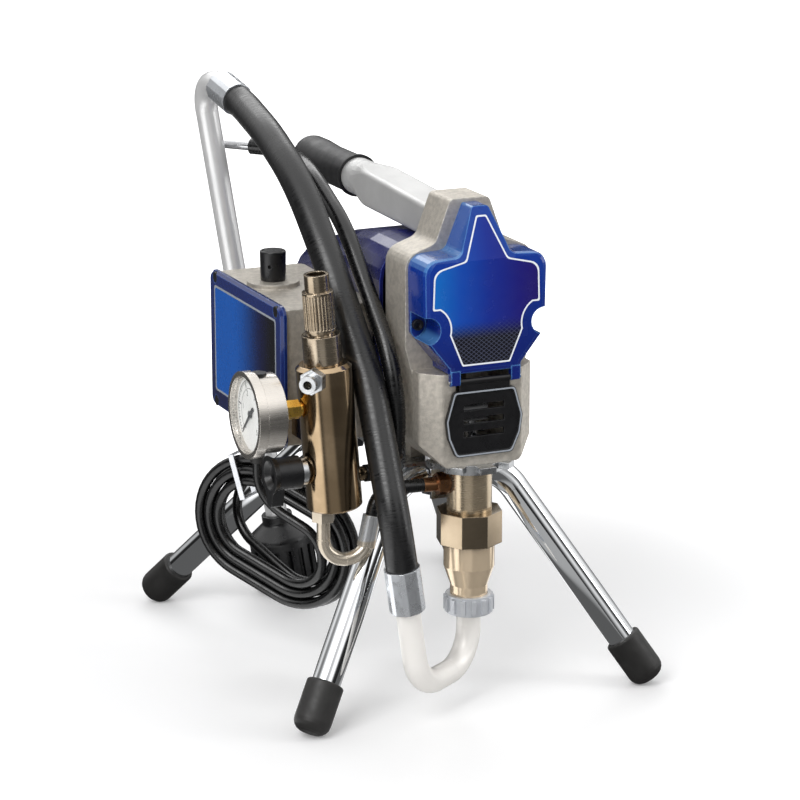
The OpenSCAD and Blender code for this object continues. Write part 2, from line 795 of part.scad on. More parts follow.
module motor_rotor() {
  commutator_d = 34;
  commutator_len = 18;
  armature_y0 = bell_back_y + 2 * fan_t;
  armature_y1 = can_end_y - brush_room;
  bearing_y = housing_back_y + 2;
  color("#8a7048") union() {
    translate([0, 0, motor_z]) slab(gear_outline(pinion_teeth, 90), gear_y, gear_y + gear_w);
    y_rod(rotor_shaft_d, gear_y, rear_bell_end_y + fan_gap + fan_t, 0, motor_z);
    y_rod(rotor_bearing_d - 2 * fit, bearing_y + fit, bearing_y + bell_t - 3, 0, motor_z);
    y_rod(armature_d, armature_y0, armature_y1, 0, motor_z);
    y_rod(commutator_d, armature_y1, armature_y1 + commutator_len, 0, motor_z);
  }
}
module motor_fan() {
  hub_d = 24;
  rim_gap = 6;
  fan_d = motor_d - 2 * rim_gap;
  blade_t = 2.5;
  y0 = rear_bell_end_y + fan_gap;
  color("#2b2b2b") difference() {
    union() {
      y_rod(hub_d, y0, y0 + fan_t, 0, motor_z);
      y_rod(fan_d, y0, y0 + blade_t, 0, motor_z);
      for (i = [0:fan_blades - 1]) translate([0, 0, motor_z]) rotate([0, i * 360 / fan_blades, 0])
        translate([-blade_t / 2, y0, hub_d / 2 - over]) cube([blade_t, fan_t, (fan_d - hub_d) / 2]);
    }
    y_rod(rotor_shaft_d, y0 - over, y0 + fan_t + over, 0, motor_z);
  }
}
vent_count = 7;
vent_h = 5;
vent_pitch = 11;
vent_low_z = motor_z - ((vent_count - 1) * vent_pitch + vent_h) / 2;
shroud_level = 48;
shroud_drop = 38;
shroud_top_r = 30;
shroud_edge_r = 8;
shroud_sag = 1.5;
shroud_steps = 4;
shroud_level_y = bell_back_y + shroud_level;
// The top is level at first and then falls away to the back
function shroud_top(y) =
  let (s = max(0, (y - shroud_level_y) / (shroud_back_y - shroud_level_y)))
  shroud_top_z - shroud_drop * pow(s, shroud_sag);
function shroud_ring(y, d) =
  let (r = shroud_top_r - d)
  upright(rounded(inset(box_outline(shroud_hw, shroud_bottom_z, shroud_top(y)), d), [r, 1, 1, r]), y);
function shroud_hollow(y) =
  let (hw = shroud_hw - shroud_wall, r = shroud_top_r - shroud_wall)
  upright(rounded(box_outline(hw, shroud_bottom_z - over, shroud_top(y) - shroud_wall), [r, 0, 0, r]), y);
function shroud_stations(end) = [
  for (i = [0:shroud_steps]) shroud_level_y + (end - shroud_level_y) * i / shroud_steps
];
module motor_shroud() {
  round_y = shroud_back_y - shroud_edge_r;
  floor_y = shroud_back_y - 2 * shroud_wall;
  color("#16296b") difference() {
    loft(concat(
      [shroud_ring(bell_back_y, 0)],
      [for (y = shroud_stations(round_y)) shroud_ring(y, 0)],
      [shroud_ring(shroud_back_y - shroud_edge_r / 3, shroud_edge_r / 4)],
      [shroud_ring(shroud_back_y, shroud_edge_r)]
    ));
    loft(concat(
      [shroud_hollow(bell_back_y - over)],
      [for (y = shroud_stations(floor_y)) shroud_hollow(y)]
    ));
    for (i = [0:vent_count - 1])
      translate([-shroud_hw / 2, floor_y - over, vent_low_z + i * vent_pitch])
        cube([shroud_hw, 3 * shroud_wall, vent_h]);
  }
}

// Crank train
module crankshaft() {
  ring_h = 4;
  shoulder_d = bearing_d - 2 * ring_h;
  disc_y = crank_face_y + crank_pin_len;
  pin_d = 14;
  color("gray") union() {
    y_rod(pin_d, crank_face_y, disc_y, 0, eye_z);
    y_rod(2 * crank_disc_r, disc_y, disc_y + crank_disc_t, 0, crank_z);
    y_rod(crank_shaft_d, disc_y + crank_disc_t, gear_y + gear_w, 0, crank_z);
    y_rod(journal_d, gear_y + gear_w, housing_back_y + journal_len, 0, crank_z);
    y_rod(shoulder_d, web_back_y + pass, gear_y, 0, crank_z);
  }
}
module crank_gear() {
  bore = crank_shaft_d;
  color("dimgray") difference() {
    translate([0, 0, crank_z])
      slab(gear_outline(gear_teeth, -90 + 180 / gear_teeth), gear_y, gear_y + gear_w);
    y_rod(bore, gear_y - over, gear_y + gear_w + over, 0, crank_z);
  }
}
module crank_bearing() {
  color("lightgray") difference() {
    y_rod(bearing_d, web_front_y, web_back_y, 0, crank_z);
    y_rod(crank_shaft_d + 2 * fit, web_front_y - over, web_back_y + over, 0, crank_z);
  }
}
eye_r = 14;
eye_room = 4;
eye_room_z = crank_z + crank_r + eye_r + eye_room;
small_eye_r = 11;
wrist_d = 10;
module connecting_rod() {
  web_w = 13;
  half = rod_t / 2;
  color("silver") difference() {
    union() {
      y_rod(2 * eye_r, -half, half, 0, eye_z);
      y_rod(2 * small_eye_r, -half, half, 0, wrist_z);
      translate([-web_w / 2, -half, wrist_z]) cube([web_w, rod_t, eye_z - wrist_z]);
    }
    y_rod(wrist_d + 2 * fit, -rod_t, rod_t, 0, wrist_z);
  }
}
module wrist_pin() {
  color("lightgray") y_rod(wrist_d, -fork_hw - 2, fork_hw + 2, 0, wrist_z);
}
fork_ear = 5;
fork_hw = rod_t / 2 + pass + fork_ear;
fork_w = 22;

// Pump
neck_d = 40;
spigot_d = 33;
spigot_len = 15;
packing_d = pump_bore + 4;
packing_len = 14;
jam_nut_z = block_bottom_z - jam_nut_t;
fork_up = 11;
fork_floor_z = wrist_z - small_eye_r - pass;
room_spare = 8;
room_top_z = wrist_z + fork_up + 2 * crank_r + room_spare;
piston_z = cylinder_bottom_z - spigot_len - 4;
piston_d = pump_bore - 2;
piston_len = 22;
seal_z = piston_z + 4;
seal_len = 12;
seal_depth = 2.5;
seal_core_d = piston_d - 2 * seal_depth;
module pump_rod() {
  fork_base = 8;
  color("lightgray") difference() {
    union() {
      translate([0, 0, piston_z]) cylinder(d = piston_d, h = piston_len);
      translate([0, 0, piston_z]) cylinder(d = rod_d, h = fork_floor_z - piston_z);
      translate([-fork_w / 2, -fork_hw, fork_floor_z - fork_base])
        cube([fork_w, 2 * fork_hw, wrist_z + fork_up - fork_floor_z + fork_base]);
    }
    translate([-fork_w, -rod_t / 2 - pass, fork_floor_z])
      cube([2 * fork_w, rod_t + 2 * pass, 2 * fork_up + small_eye_r]);
    y_rod(wrist_d, -2 * fork_hw, 2 * fork_hw, 0, wrist_z);
    difference() {
      translate([0, 0, seal_z]) cylinder(d = pump_bore, h = seal_len);
      translate([0, 0, seal_z - over]) cylinder(d = seal_core_d, h = seal_len + 2 * over);
    }
  }
}
module piston_seal() {
  color("#e8e4d4") translate([0, 0, seal_z]) difference() {
    cylinder(d = pump_bore - 2 * fit, h = seal_len);
    translate([0, 0, -over]) cylinder(d = seal_core_d, h = seal_len + 2 * over);
  }
}
module packing_nut() {
  nut_d = 34;
  nut_h = 11;
  slot_w = 5;
  color("silver") difference() {
    translate([0, 0, room_floor_z - packing_len]) {
      cylinder(d = packing_d, h = packing_len);
      translate([0, 0, packing_len]) cylinder(d = nut_d, h = nut_h);
    }
    translate([0, 0, room_floor_z - packing_len - over])
      cylinder(d = rod_d + 2 * fit, h = packing_len + nut_h + 2 * over);
    for (a = [0, 90]) rotate([0, 0, a]) translate([-nut_d, -slot_w / 2, room_floor_z + nut_h / 2])
      cube([2 * nut_d, slot_w, nut_h]);
  }
}
module pump_cylinder() {
  port_z = hp_hose_z;
  color("#c9b79c") difference() {
    union() {
      translate([0, 0, cylinder_bottom_z - spigot_len]) cylinder(d = spigot_d, h = spigot_len);
      translate([0, 0, cylinder_bottom_z]) cylinder(d = cylinder_d, h = jam_nut_z - cylinder_bottom_z);
      translate([0, 0, jam_nut_z]) cylinder(d = neck_d, h = room_floor_z - jam_nut_z);
    }
    translate([0, 0, cylinder_bottom_z - spigot_len - over])
      cylinder(d = pump_bore, h = room_floor_z - cylinder_bottom_z + spigot_len);
    translate([0, 0, room_floor_z - packing_len]) cylinder(d = packing_d, h = packing_len + over);
    along([0, 0, port_z], outlet_dir) cylinder(d = port_d, h = cylinder_d);
  }
}
jam_lugs = 8;
module jam_nut() {
  lug_len = 8;
  lug_t = 14;
  hub_d = jam_nut_d - 2 * lug_len;
  color("lightgray") translate([0, 0, jam_nut_z]) difference() {
    union() {
      cylinder(d = hub_d, h = jam_nut_t);
      for (i = [0:jam_lugs - 1]) rotate([0, 0, i * 360 / jam_lugs])
        translate([hub_d / 2 - lug_len / 2, -lug_t / 2, jam_nut_t / 3])
          cube([lug_len * 3 / 2, lug_t, jam_nut_t * 2 / 3]);
    }
    translate([0, 0, -over]) cylinder(d = neck_d + 2 * fit, h = jam_nut_t + 2 * over);
  }
}
port_d = 12;
fitting_len = 40;
fitting_hex = 17;
fitting_hex_h = 9;
module pump_outlet_fitting() {
  color("#b5713c") along([0, 0, hp_hose_z], outlet_dir) difference() {
    union() {
      translate([0, 0, pump_bore / 2 + 1]) cylinder(d = port_d, h = fitting_len - pump_bore / 2 - 1);
      translate([0, 0, cylinder_d / 2 + 1]) hex_bar(fitting_hex, fitting_hex_h);
    }
    translate([0, 0, pump_bore / 2]) cylinder(d = port_d / 2, h = fitting_len);
  }
}
intake_shoulder_z = cylinder_bottom_z - intake_hex_h;
intake_taper_up = 30;
intake_neck_up = 14;
seat_up = 26;
intake_taper_z = intake_bottom_z + intake_taper_up;
intake_neck_z = intake_bottom_z + intake_neck_up;
seat_z = intake_bottom_z + seat_up;
inlet_d = 18;
intake_flats = 8;
intake_turn = 7.5;
ball_r = ball_d / 2;
ball_z = seat_z + sqrt(ball_r * ball_r - seat_bore * seat_bore / 4) + fit;
stop_z = ball_z + ball_r + ball_lift + fit;
module intake_housing() {
  stop_h = 4;
  stop_w = 5;
  color("#c9b79c") difference() {
    union() {
      translate([0, 0, intake_shoulder_z]) rotate([0, 0, intake_turn])
        cylinder(d = intake_hex_d, h = intake_hex_h, $fn = intake_flats);
      translate([0, 0, intake_taper_z]) cylinder(d = intake_d, h = intake_shoulder_z - intake_taper_z);
      translate([0, 0, intake_neck_z])
        cylinder(d1 = intake_neck_d, d2 = intake_d, h = intake_taper_z - intake_neck_z);
      translate([0, 0, intake_bottom_z]) cylinder(d = intake_neck_d, h = intake_neck_z - intake_bottom_z);
    }
    translate([0, 0, cylinder_bottom_z - spigot_len]) cylinder(d = spigot_d + 2 * fit, h = spigot_len + over);
    difference() {
      translate([0, 0, seat_z]) cylinder(d = pump_bore, h = cylinder_bottom_z - spigot_len - seat_z + over);
      translate([-pump_bore, -stop_w / 2, stop_z]) cube([2 * pump_bore, stop_w, stop_h]);
    }
    translate([0, 0, intake_bottom_z]) cylinder(d = seat_bore, h = seat_z);
    translate([0, 0, intake_bottom_z - over]) cylinder(d = inlet_d, h = seat_z - intake_bottom_z - 4);
  }
}
module intake_ball() {
  color("gainsboro") translate([0, 0, ball_z]) sphere(d = ball_d);
}

// Suction set. The hose route is chosen by hand, from the lower ferrule to the upper one.
hose_route = [
  [-77, -48, 106], [-88, -52, 172], [-85, 8, 278], [-98, 58, 366],
  [-101, 118, 425], [-99, 190, 452], [-95, 252, 464.5], [-100, 292, 475]
];
hose_bends = [100, 300, 220, 180, 250, 80];
pipe_low_z = 33;
pipe_bend = 32;
pipe_grip = 28;
tube_grip = 28;
hose_in = unit(hose_route[1] - hose_route[0]);
hose_out = unit(last(hose_route) - hose_route[len(hose_route) - 2]);
pipe_corner = hose_route[0] - hose_in * (hose_route[0].z - pipe_low_z) / hose_in.z;
pipe_flange_d = 28;
nut_floor = 6;
nut_shoulder_z = suction_nut_z + nut_floor;
nut_ribs = 14;
module suction_nut() {
  rib_w = 4;
  rib_h = 2;
  nut_drop = 8;
  nut_h = intake_neck_z - suction_nut_z - nut_drop;
  color("#b9bec4") translate([0, 0, suction_nut_z]) difference() {
    union() {
      cylinder(d = suction_nut_d - 2 * rib_h, h = nut_h);
      for (i = [0:nut_ribs - 1]) rotate([0, 0, i * 360 / nut_ribs])
        translate([0, -rib_w / 2, 2]) cube([suction_nut_d / 2, rib_w, nut_h - 4]);
    }
    translate([0, 0, -over]) cylinder(d = pipe_d + 2 * pass, h = nut_h);
    translate([0, 0, nut_shoulder_z - suction_nut_z]) cylinder(d = intake_neck_d + 2 * fit, h = nut_h);
  }
}
module suction_pipe() {
  bore = pipe_d - 2 * pipe_wall;
  route = [[0, 0, intake_bottom_z], [0, 0, pipe_low_z], pipe_corner, hose_route[0] + hose_in * pipe_grip];
  color("gainsboro") difference() {
    union() {
      bent_bar(route, [pipe_bend, pipe_bend], pipe_d);
      translate([0, 0, nut_shoulder_z]) cylinder(d = pipe_flange_d, h = intake_bottom_z - nut_shoulder_z);
    }
    bent_bar(route, [pipe_bend, pipe_bend], bore, over);
  }
}
lower_ferrule_len = 37;
upper_ferrule_len = 30;
crimp_flats = 8;
ferrule_end = 2;
// Crimped sleeve: round, pressed to flats
module ferrule(len) {
  crimp_depth = 0.8;
  difference() {
    translate([0, 0, -ferrule_end]) intersection() {
      cylinder(d = ferrule_d, h = len);
      cylinder(d = (ferrule_d - crimp_depth) / cos(180 / crimp_flats), h = len, $fn = crimp_flats);
    }
    cylinder(d = hose_d + 2 * fit, h = len);
    translate([0, 0, -over - ferrule_end]) cylinder(d = pipe_d + 2 * fit, h = len);
  }
}
module hose_ferrules() {
  color("silver") {
    along(hose_route[0], hose_in) ferrule(lower_ferrule_len);
    along(last(hose_route), -hose_out) ferrule(upper_ferrule_len);
  }
}
module suction_hose() {
  color("#191919") bent_tube(hose_route, hose_bends, hose_d, pipe_d + 2 * fit);
}
// Suction tube: hooks over from the hose and drops into the strainer
tube_hook = 43;
tube_bend = 28;
tube_top = last(hose_route) + hose_out * tube_hook;
tube_foot = [-31, 322, 5];
tube_up = unit(tube_top - tube_foot);
tube_sink = 14;
tube_seat = strainer_h - tube_sink;
module suction_tube() {
  color("gainsboro") bent_tube(
    [last(hose_route) - hose_out * tube_grip, tube_top, tube_foot + tube_up * tube_seat],
    [tube_bend], pipe_d, pipe_d - 2 * pipe_wall
  );
}
strainer_slots = 16;
module strainer() {
  wall = 3;
  collar_wall = 4;
  collar_h = 8;
  collar_d = pipe_d + 2 * collar_wall;
  top = strainer_h + collar_h;
  shoulder = 12;
  r = strainer_d / 2;
  slot_w = 5;
  room_h = strainer_h - shoulder - 2 * wall;
  screen_t = 1.5;
  screen_r = r - 2 * wall - screen_t;
  color("#262626") along(tube_foot, tube_up) difference() {
    rotate_extrude() polygon(rounded(
      [[0, top], [collar_d / 2, top], [collar_d / 2, strainer_h], [r, strainer_h - shoulder], [r, 0], [0, 0]],
      [0, 1, 4, 6, 3, 0]
    ));
    translate([0, 0, wall]) difference() {
      cylinder(r = r - wall, h = room_h);
      translate([0, 0, -over]) difference() {
        cylinder(r = screen_r, h = room_h + 2 * over);
        translate([0, 0, -over]) cylinder(r = screen_r - screen_t, h = room_h + 4 * over);
      }
    }
    translate([0, 0, wall]) cylinder(d = pipe_d - 2 * pipe_wall, h = strainer_h);
    translate([0, 0, tube_seat]) cylinder(d = pipe_d + 2 * fit, h = strainer_h);
    for (i = [0:strainer_slots - 1]) rotate([0, 0, i * 360 / strainer_slots])
      translate([r - 2 * wall, -slot_w / 2, 2 * wall]) cube([4 * wall, slot_w, room_h - 3 * wall]);
  }
}
// Drain set: a thin tube behind the suction tube, its hose and the barb on the filter
drain_foot = [-41, 344, 84];
drain_top = [-92, 355, 416];
drain_hook = [-55, 311, 416];
drain_bend = 16;
drain_grip = 12;
drain_reach = 16;
drain_dir = unit(drain_hook - drain_top);
drain_route = [
  drain_hook - drain_dir * drain_grip, drain_hook + drain_dir * drain_reach, [-68, 178, 424], [-70, 92, 388],
  [-66, -8, 280], [-62, 10, 203], [-89, 10, 203]
];
drain_bends = [18, 150, 120, 90, 18];
module drain_tube() {
  clip_t = 3;
  clip_z = 230;
  clip_h = 10;
  s = (clip_z - drain_foot.z) / (drain_top.z - drain_foot.z);
  at = drain_foot + (drain_top - drain_foot) * s;
  beside = tube_foot + tube_up * (clip_z - tube_foot.z) / tube_up.z;
  color("gainsboro") difference() {
    union() {
      bent_bar([drain_foot, drain_top, drain_hook], [drain_bend], drain_tube_d);
      along(at, drain_top - drain_foot) cylinder(d = drain_tube_d + 2 * clip_t, h = clip_h);
      along(beside, tube_up) cylinder(d = pipe_d + 2 * clip_t, h = clip_h);
      along(at + [0, 0, clip_h / 2], beside - at) cylinder(d = clip_h - clip_t, h = norm(beside - at));
    }
    along(beside - tube_up * clip_h, tube_up) cylinder(d = pipe_d + 2 * fit, h = 3 * clip_h);
    bent_bar([drain_foot, drain_top, drain_hook], [drain_bend], drain_tube_d / 2, over);
  }
}
module drain_hose() {
  color("#1b1b1b") bent_tube(drain_route, drain_bends, drain_d, drain_tube_d + 2 * fit);
}

// Control box
box_x1 = -shroud_hw;
box_x0 = box_x1 - box_depth;
box_back_y = box_front_y + box_len;
box_top_z = box_bottom_z + box_h;
box_mid_y = (box_front_y + box_back_y) / 2;
knob_in = 26;
knob_back = 92;
knob_x = box_x0 + knob_in;
knob_y = box_front_y + knob_back;
knob_pad_h = 4;
knob_shaft_d = 6;
switch_up = 60;
switch_in = 40;
switch_z = box_bottom_z + switch_up;
switch_x = box_x0 + switch_in;
switch_d = 12;
gland_in = 13;
gland_back = 100;
gland_x = box_x0 + gland_in;
gland_y = box_front_y + gland_back;
gland_d = 12;
plate_screw_in = 10;
plate_screw_d = 4;
module control_housing() {
  pad_d = 44;
  edge_r = 7;
  plan = [[box_x0, box_front_y], [box_x0, box_back_y], [box_x1, box_back_y], [box_x1, box_front_y]];
  color("silver") difference() {
    union() {
      translate([0, 0, box_bottom_z]) linear_extrude(box_h) polygon(rounded(plan, [0, 0, edge_r, edge_r]));
      translate([knob_x, knob_y, box_top_z]) cylinder(d = pad_d, h = knob_pad_h);
    }
    translate([box_x0 - over, box_front_y + box_wall, box_bottom_z + box_wall])
      cube([box_depth - box_wall + over, box_len - 2 * box_wall, box_h - 2 * box_wall]);
    translate([knob_x, knob_y, box_top_z - 2 * box_wall])
      cylinder(d = knob_shaft_d + 2 * fit, h = 4 * box_wall);
    y_rod(switch_d, box_back_y - 2 * box_wall, box_back_y + over, switch_x, switch_z);
    plate_spots() translate([0, 0, -box_wall - over]) cylinder(d = plate_screw_d, h = 2 * box_wall);
    translate([gland_x, gland_y, box_bottom_z - over]) cylinder(d = gland_d, h = 2 * box_wall);
  }
}
module plate_spots() {
  for (y = [box_front_y + plate_screw_in, box_back_y - plate_screw_in],
    z = [box_bottom_z + plate_screw_in / 4, box_top_z - plate_screw_in / 4])
    translate([box_x0, y, z]) rotate([0, -90, 0]) children();
}
module control_cover() {
  hw = box_len / 2 + plate_rim;
  outline = box_outline(hw, box_bottom_z - plate_rim, box_top_z + plate_rim);
  corner_r = 9;
  bevel = 2.5;
  radii = [corner_r, corner_r, corner_r, corner_r];
  inner = [for (r = radii) r - bevel];
  color("#17306f") difference() {
    translate([box_x0, box_mid_y, 0]) rotate([0, 0, -90]) loft([
      upright(rounded(inset(outline, bevel), inner), -plate_t),
      upright(rounded(outline, radii), bevel - plate_t),
      upright(rounded(outline, radii), 0)
    ]);
    plate_spots() {
      translate([0, 0, plate_t / 2]) cylinder(d = screw_head_d + 1, h = plate_t);
      translate([0, 0, -over]) cylinder(d = plate_screw_d + 2 * fit, h = 2 * plate_t);
    }
  }
}
module screws_and_bolts() {
  color("#404040") {
    stand_bolts();
    cover_screws();
    plate_spots() {
      translate([0, 0, -box_wall]) cylinder(d = plate_screw_d, h = box_wall + plate_t / 2);
      translate([0, 0, plate_t / 2]) cylinder(d = screw_head_d, h = plate_t / 2);
    }
  }
}
module control_board() {
  board_t = 2;
  post_len = 8;
  board_x = box_x1 - box_wall - post_len;
  post_d = 8;
  body_d = 16;
  body_h = 10;
  cap_count = 3;
  cap_z = box_bottom_z + box_h / 3;
  color("#2c5e3a") {
    translate([board_x - board_t, box_front_y + 2 * box_wall, box_bottom_z + 3 * box_wall])
      cube([board_t, box_len - 4 * box_wall, box_h - 6 * box_wall]);
    for (y = [box_front_y + 4 * box_wall, box_back_y - 4 * box_wall])
      x_rod(post_d, board_x, box_x1 - box_wall, y, box_bottom_z + box_h / 2);
    for (i = [1:cap_count])
      x_rod(body_d, board_x - board_t - 2 * body_h, board_x - board_t, box_front_y + i * 2 * body_d, cap_z);
    translate([knob_x, knob_y, box_top_z - box_wall - body_h]) difference() {
      cylinder(d = body_d, h = body_h);
      translate([0, 0, body_h / 2]) cylinder(d = knob_shaft_d + 2 * fit, h = body_h);
    }
    difference() {
      union() {
        y_rod(switch_d, box_back_y - box_wall, box_back_y + box_wall + lever_pin_d, switch_x, switch_z);
        y_rod(2 * switch_d, box_back_y - box_wall - 2 * body_h, box_back_y - box_wall, switch_x, switch_z);
      }
      translate([switch_x, box_back_y + box_wall, switch_z]) sphere(d = lever_ball_d + 2 * fit);
      x_rod(lever_pin_d + 2 * fit, switch_x - switch_d, switch_x + switch_d, box_back_y + box_wall, switch_z);
      translate([switch_x - lever_d, box_back_y, switch_z - switch_d])
        cube([2 * lever_d, 3 * box_wall, 2 * switch_d]);
    }
  }
}
lever_d = 3.5;
lever_ball_d = 9;
lever_pin_d = 2.4;
lever_len = 14;
lever_rest = 12;
module power_switch_lever() {
  color("gainsboro") translate([switch_x, box_back_y + box_wall, switch_z]) rotate([lever_rest, 0, 0]) {
    sphere(d = lever_ball_d);
    x_rod(lever_pin_d, -switch_d / 2, switch_d / 2);
    rotate([-90, 0, 0]) cylinder(d = lever_d, h = lever_len);
  }
}
module pressure_knob() {
  base_gap = pass;
  shaft_past = 4;
  shaft_in = box_wall + shaft_past;
  draft = 0.5;
  edge_r = 1.5;
  groove_in = 2;
  groove_w = 0.75;
  groove_depth = 0.8;
  grub_d = 3.5;
  grub_side = -125;
  color("#1d1d1d") translate([knob_x, knob_y, box_top_z + knob_pad_h + base_gap]) difference() {
    union() {
      rotate_extrude() polygon(rounded(
        [[0, knob_h], [knob_d / 2, knob_h], [knob_d / 2 - draft, 0], [0, 0]], [0, edge_r, draft, 0]));
      translate([0, 0, -shaft_in - knob_pad_h - base_gap])
        cylinder(d = knob_shaft_d, h = shaft_in + knob_h / 2 + knob_pad_h);
    }
    translate([0, 0, knob_h / 2]) rotate([0, 90, grub_side])
      translate([0, 0, knob_d / 3]) cylinder(d = grub_d, h = knob_d);
    translate([0, 0, knob_h - groove_depth]) difference() {
      cylinder(d = knob_d - 2 * groove_in, h = over);
      translate([0, 0, -over]) cylinder(d = knob_d - 2 * (groove_in + groove_w), h = 3 * over);
    }
  }
}

// Filter, gauge and prime valve
module filter_frame() {
  translate([filter_x, filter_y, filter_z]) rotate([0, -filter_lean, 0]) children();
}
function filter_axis_x(z) = filter_x - (z - filter_z) * tan(filter_lean);
function filter_wall_x(z) = filter_axis_x(z) - filter_d / 2;
filter_bore = 30;
filter_floor = 14;
outlet_z = 290;
nipple_dir = [-0.66, -0.75, 0];
gauge_port_d = 10;
valve_port_d = 14;
barb_d = drain_tube_d;
barb_grip = 8;
barb_step = 4;
hp_port_off = 10;
hp_port_x = filter_x - hp_port_off;
hp_tube_d = 11;
hp_boss_d = 20;
hp_boss_h = 2.5;
neck_rise = 24;
module filter_body() {
  chamfer = 3;
  r = filter_d / 2;
  color("#c6b497") difference() {
    union() {
      filter_frame() rotate_extrude() polygon(
        [[0, filter_len], [r - chamfer, filter_len], [r, filter_len - chamfer], [r, chamfer / 2],
          [r - chamfer / 2, 0], [0, 0]]);
      x_rod(barb_d + barb_step, filter_axis_x(drain_z), filter_axis_x(drain_z) + r + barb_step,
        filter_y, drain_z);
      x_rod(barb_d, filter_axis_x(drain_z), drain_barb_x, filter_y, drain_z);
      translate([hp_port_x, filter_y, filter_z - hp_boss_h])
        cylinder(d = hp_boss_d, h = hp_boss_h + filter_floor);
      translate([filter_axis_x(bracket_z) - bracket_hw, filter_y, bracket_z - bracket_hw])
        cube([2 * bracket_hw, box_front_y - filter_y, 2 * bracket_hw]);
    }
    filter_frame() translate([0, 0, filter_floor]) cylinder(d = filter_bore, h = filter_len);
    x_rod(gauge_port_d, filter_wall_x(gauge_z) - over, filter_axis_x(gauge_z), filter_y, gauge_z);
    x_rod(valve_port_d, filter_wall_x(valve_z) - filter_d, filter_axis_x(valve_z), filter_y, valve_z);
    along([filter_axis_x(outlet_z), filter_y, outlet_z], nipple_dir) cylinder(d = outlet_d, h = filter_d);
    translate([hp_port_x, filter_y, filter_z - hp_boss_h - over])
      cylinder(d = hp_tube_d, h = filter_floor + hp_boss_h);
  }
}
drain_z = last(drain_route).z;
drain_barb_x = last(drain_route).x + barb_grip;
bracket_z = 240;
bracket_hw = 12;
cap_flutes = 28;
flute_short = 4;
module filter_cap() {
  skirt = 12;
  grip_h = 32;
  collar_h = 14;
  step = 5;
  collar_d = filter_cap_d - step;
  flute_d = 2;
  color("#cdbda3") filter_frame() translate([0, 0, filter_len]) difference() {
    union() {
      translate([0, 0, -skirt]) cylinder(d = filter_bore - 2 * fit, h = skirt);
      cylinder(d = filter_neck_d, h = neck_rise);
      translate([0, 0, neck_rise]) cylinder(d = filter_cap_d - 3, h = 3);
      translate([0, 0, neck_rise + 3]) cylinder(d = filter_cap_d, h = grip_h);
      translate([0, 0, neck_rise + 3 + grip_h]) cylinder(d = collar_d, h = collar_h);
    }
    translate([0, 0, neck_rise + grip_h]) cylinder(d = collar_d - step, h = grip_h);
    for (i = [0:cap_flutes - 1]) rotate([0, 0, i * 360 / cap_flutes])
      translate([filter_cap_d / 2 + flute_d / 4, 0, neck_rise + step])
        cylinder(d = flute_d, h = grip_h - flute_short);
  }
}
module filter_element() {
  side_gap = 4;
  end_gap = 14;
  wall = 2.5;
  element_d = filter_bore - 2 * side_gap;
  element_len = filter_len - filter_floor - end_gap;
  color("gray") filter_frame() translate([0, 0, filter_floor]) difference() {
    cylinder(d = element_d, h = element_len);
    translate([0, 0, 2]) cylinder(d = element_d - 2 * wall, h = element_len);
  }
}
module outlet_nipple() {
  hex_h = 9;
  seat = filter_d / 2 - 1;
  color("lightgray") along([filter_axis_x(outlet_z), filter_y, outlet_z], nipple_dir) difference() {
    union() {
      translate([0, 0, filter_bore / 2 + 1])
        cylinder(d = outlet_d, h = seat - filter_bore / 2 + hex_h + outlet_len);
      translate([0, 0, seat + 1]) hex_bar(outlet_d + 4, hex_h);
    }
    translate([0, 0, filter_bore / 2]) cylinder(d = outlet_d / 2, h = filter_d);
  }
}
bezel_t = 8;
bezel_lip = 4;
dial_in = 6;
dial_x = gauge_front_x + dial_in;
gauge_back_x = gauge_front_x + gauge_depth;
module pressure_gauge() {
  wall = 2;
  color("silver") difference() {
    union() {
      x_rod(gauge_d, gauge_front_x + 2, gauge_back_x, filter_y, gauge_z);
      x_rod(bezel_d, gauge_front_x, gauge_front_x + bezel_t, filter_y, gauge_z);
    }
    x_rod(bezel_d - 2 * bezel_lip, gauge_front_x - over, gauge_front_x + 3, filter_y, gauge_z);
    x_rod(gauge_d - 2 * wall, gauge_front_x + 2, gauge_back_x - wall, filter_y, gauge_z);
    x_rod(gauge_port_d, gauge_back_x - 2 * wall, gauge_back_x + over, filter_y, gauge_z);
    translate([gauge_back_x - gauge_depth / 2, filter_y, gauge_z]) cylinder(d = plug_d, h = gauge_d);
  }
}
plug_d = 13;
module gauge_dial() {
  plug_in = 4;
  plug_rise = 1.5;
  case_wall = 2;
  dial_d = gauge_d - 2 * case_wall - 2 * fit;
  color("white") {
    difference() {
      x_rod(dial_d, dial_x, dial_x + 2, filter_y, gauge_z);
      x_rod(needle_pin_d + 2 * fit, dial_x - over, dial_x + 3, filter_y, gauge_z);
    }
    translate([gauge_back_x - gauge_depth / 2, filter_y, gauge_z + gauge_d / 2 - plug_in])
      cylinder(d = plug_d, h = plug_in + plug_rise);
  }
}
module gauge_lens() {
  color("lightblue", 0.4)
    x_rod(bezel_d - 2 * bezel_lip - 2 * fit, gauge_front_x + 1, gauge_front_x + 3, filter_y, gauge_z);
}
needle_pin_d = 2.4;
needle_rest = 135;
module gauge_needle() {
  hub_rise = 0.6;
  pin_root = 0.1;
  pin_in = 2;
  needle_t = 0.8;
  needle_len = 22;
  tail = 8;
  hub_d = 6;
  x1 = dial_x - pass;
  color("black") union() {
    x_rod(hub_d, x1 - needle_t - hub_rise, x1, filter_y, gauge_z);
    x_rod(needle_pin_d, x1 - pin_root, dial_x + pin_in, filter_y, gauge_z);
    translate([x1 - needle_t, filter_y, gauge_z]) rotate([-needle_rest, 0, 0]) rotate([90, 0, 90])
      linear_extrude(needle_t) polygon([[-0.4, needle_len], [0.4, needle_len], [1.6, -tail], [-1.6, -tail]]);
  }
}
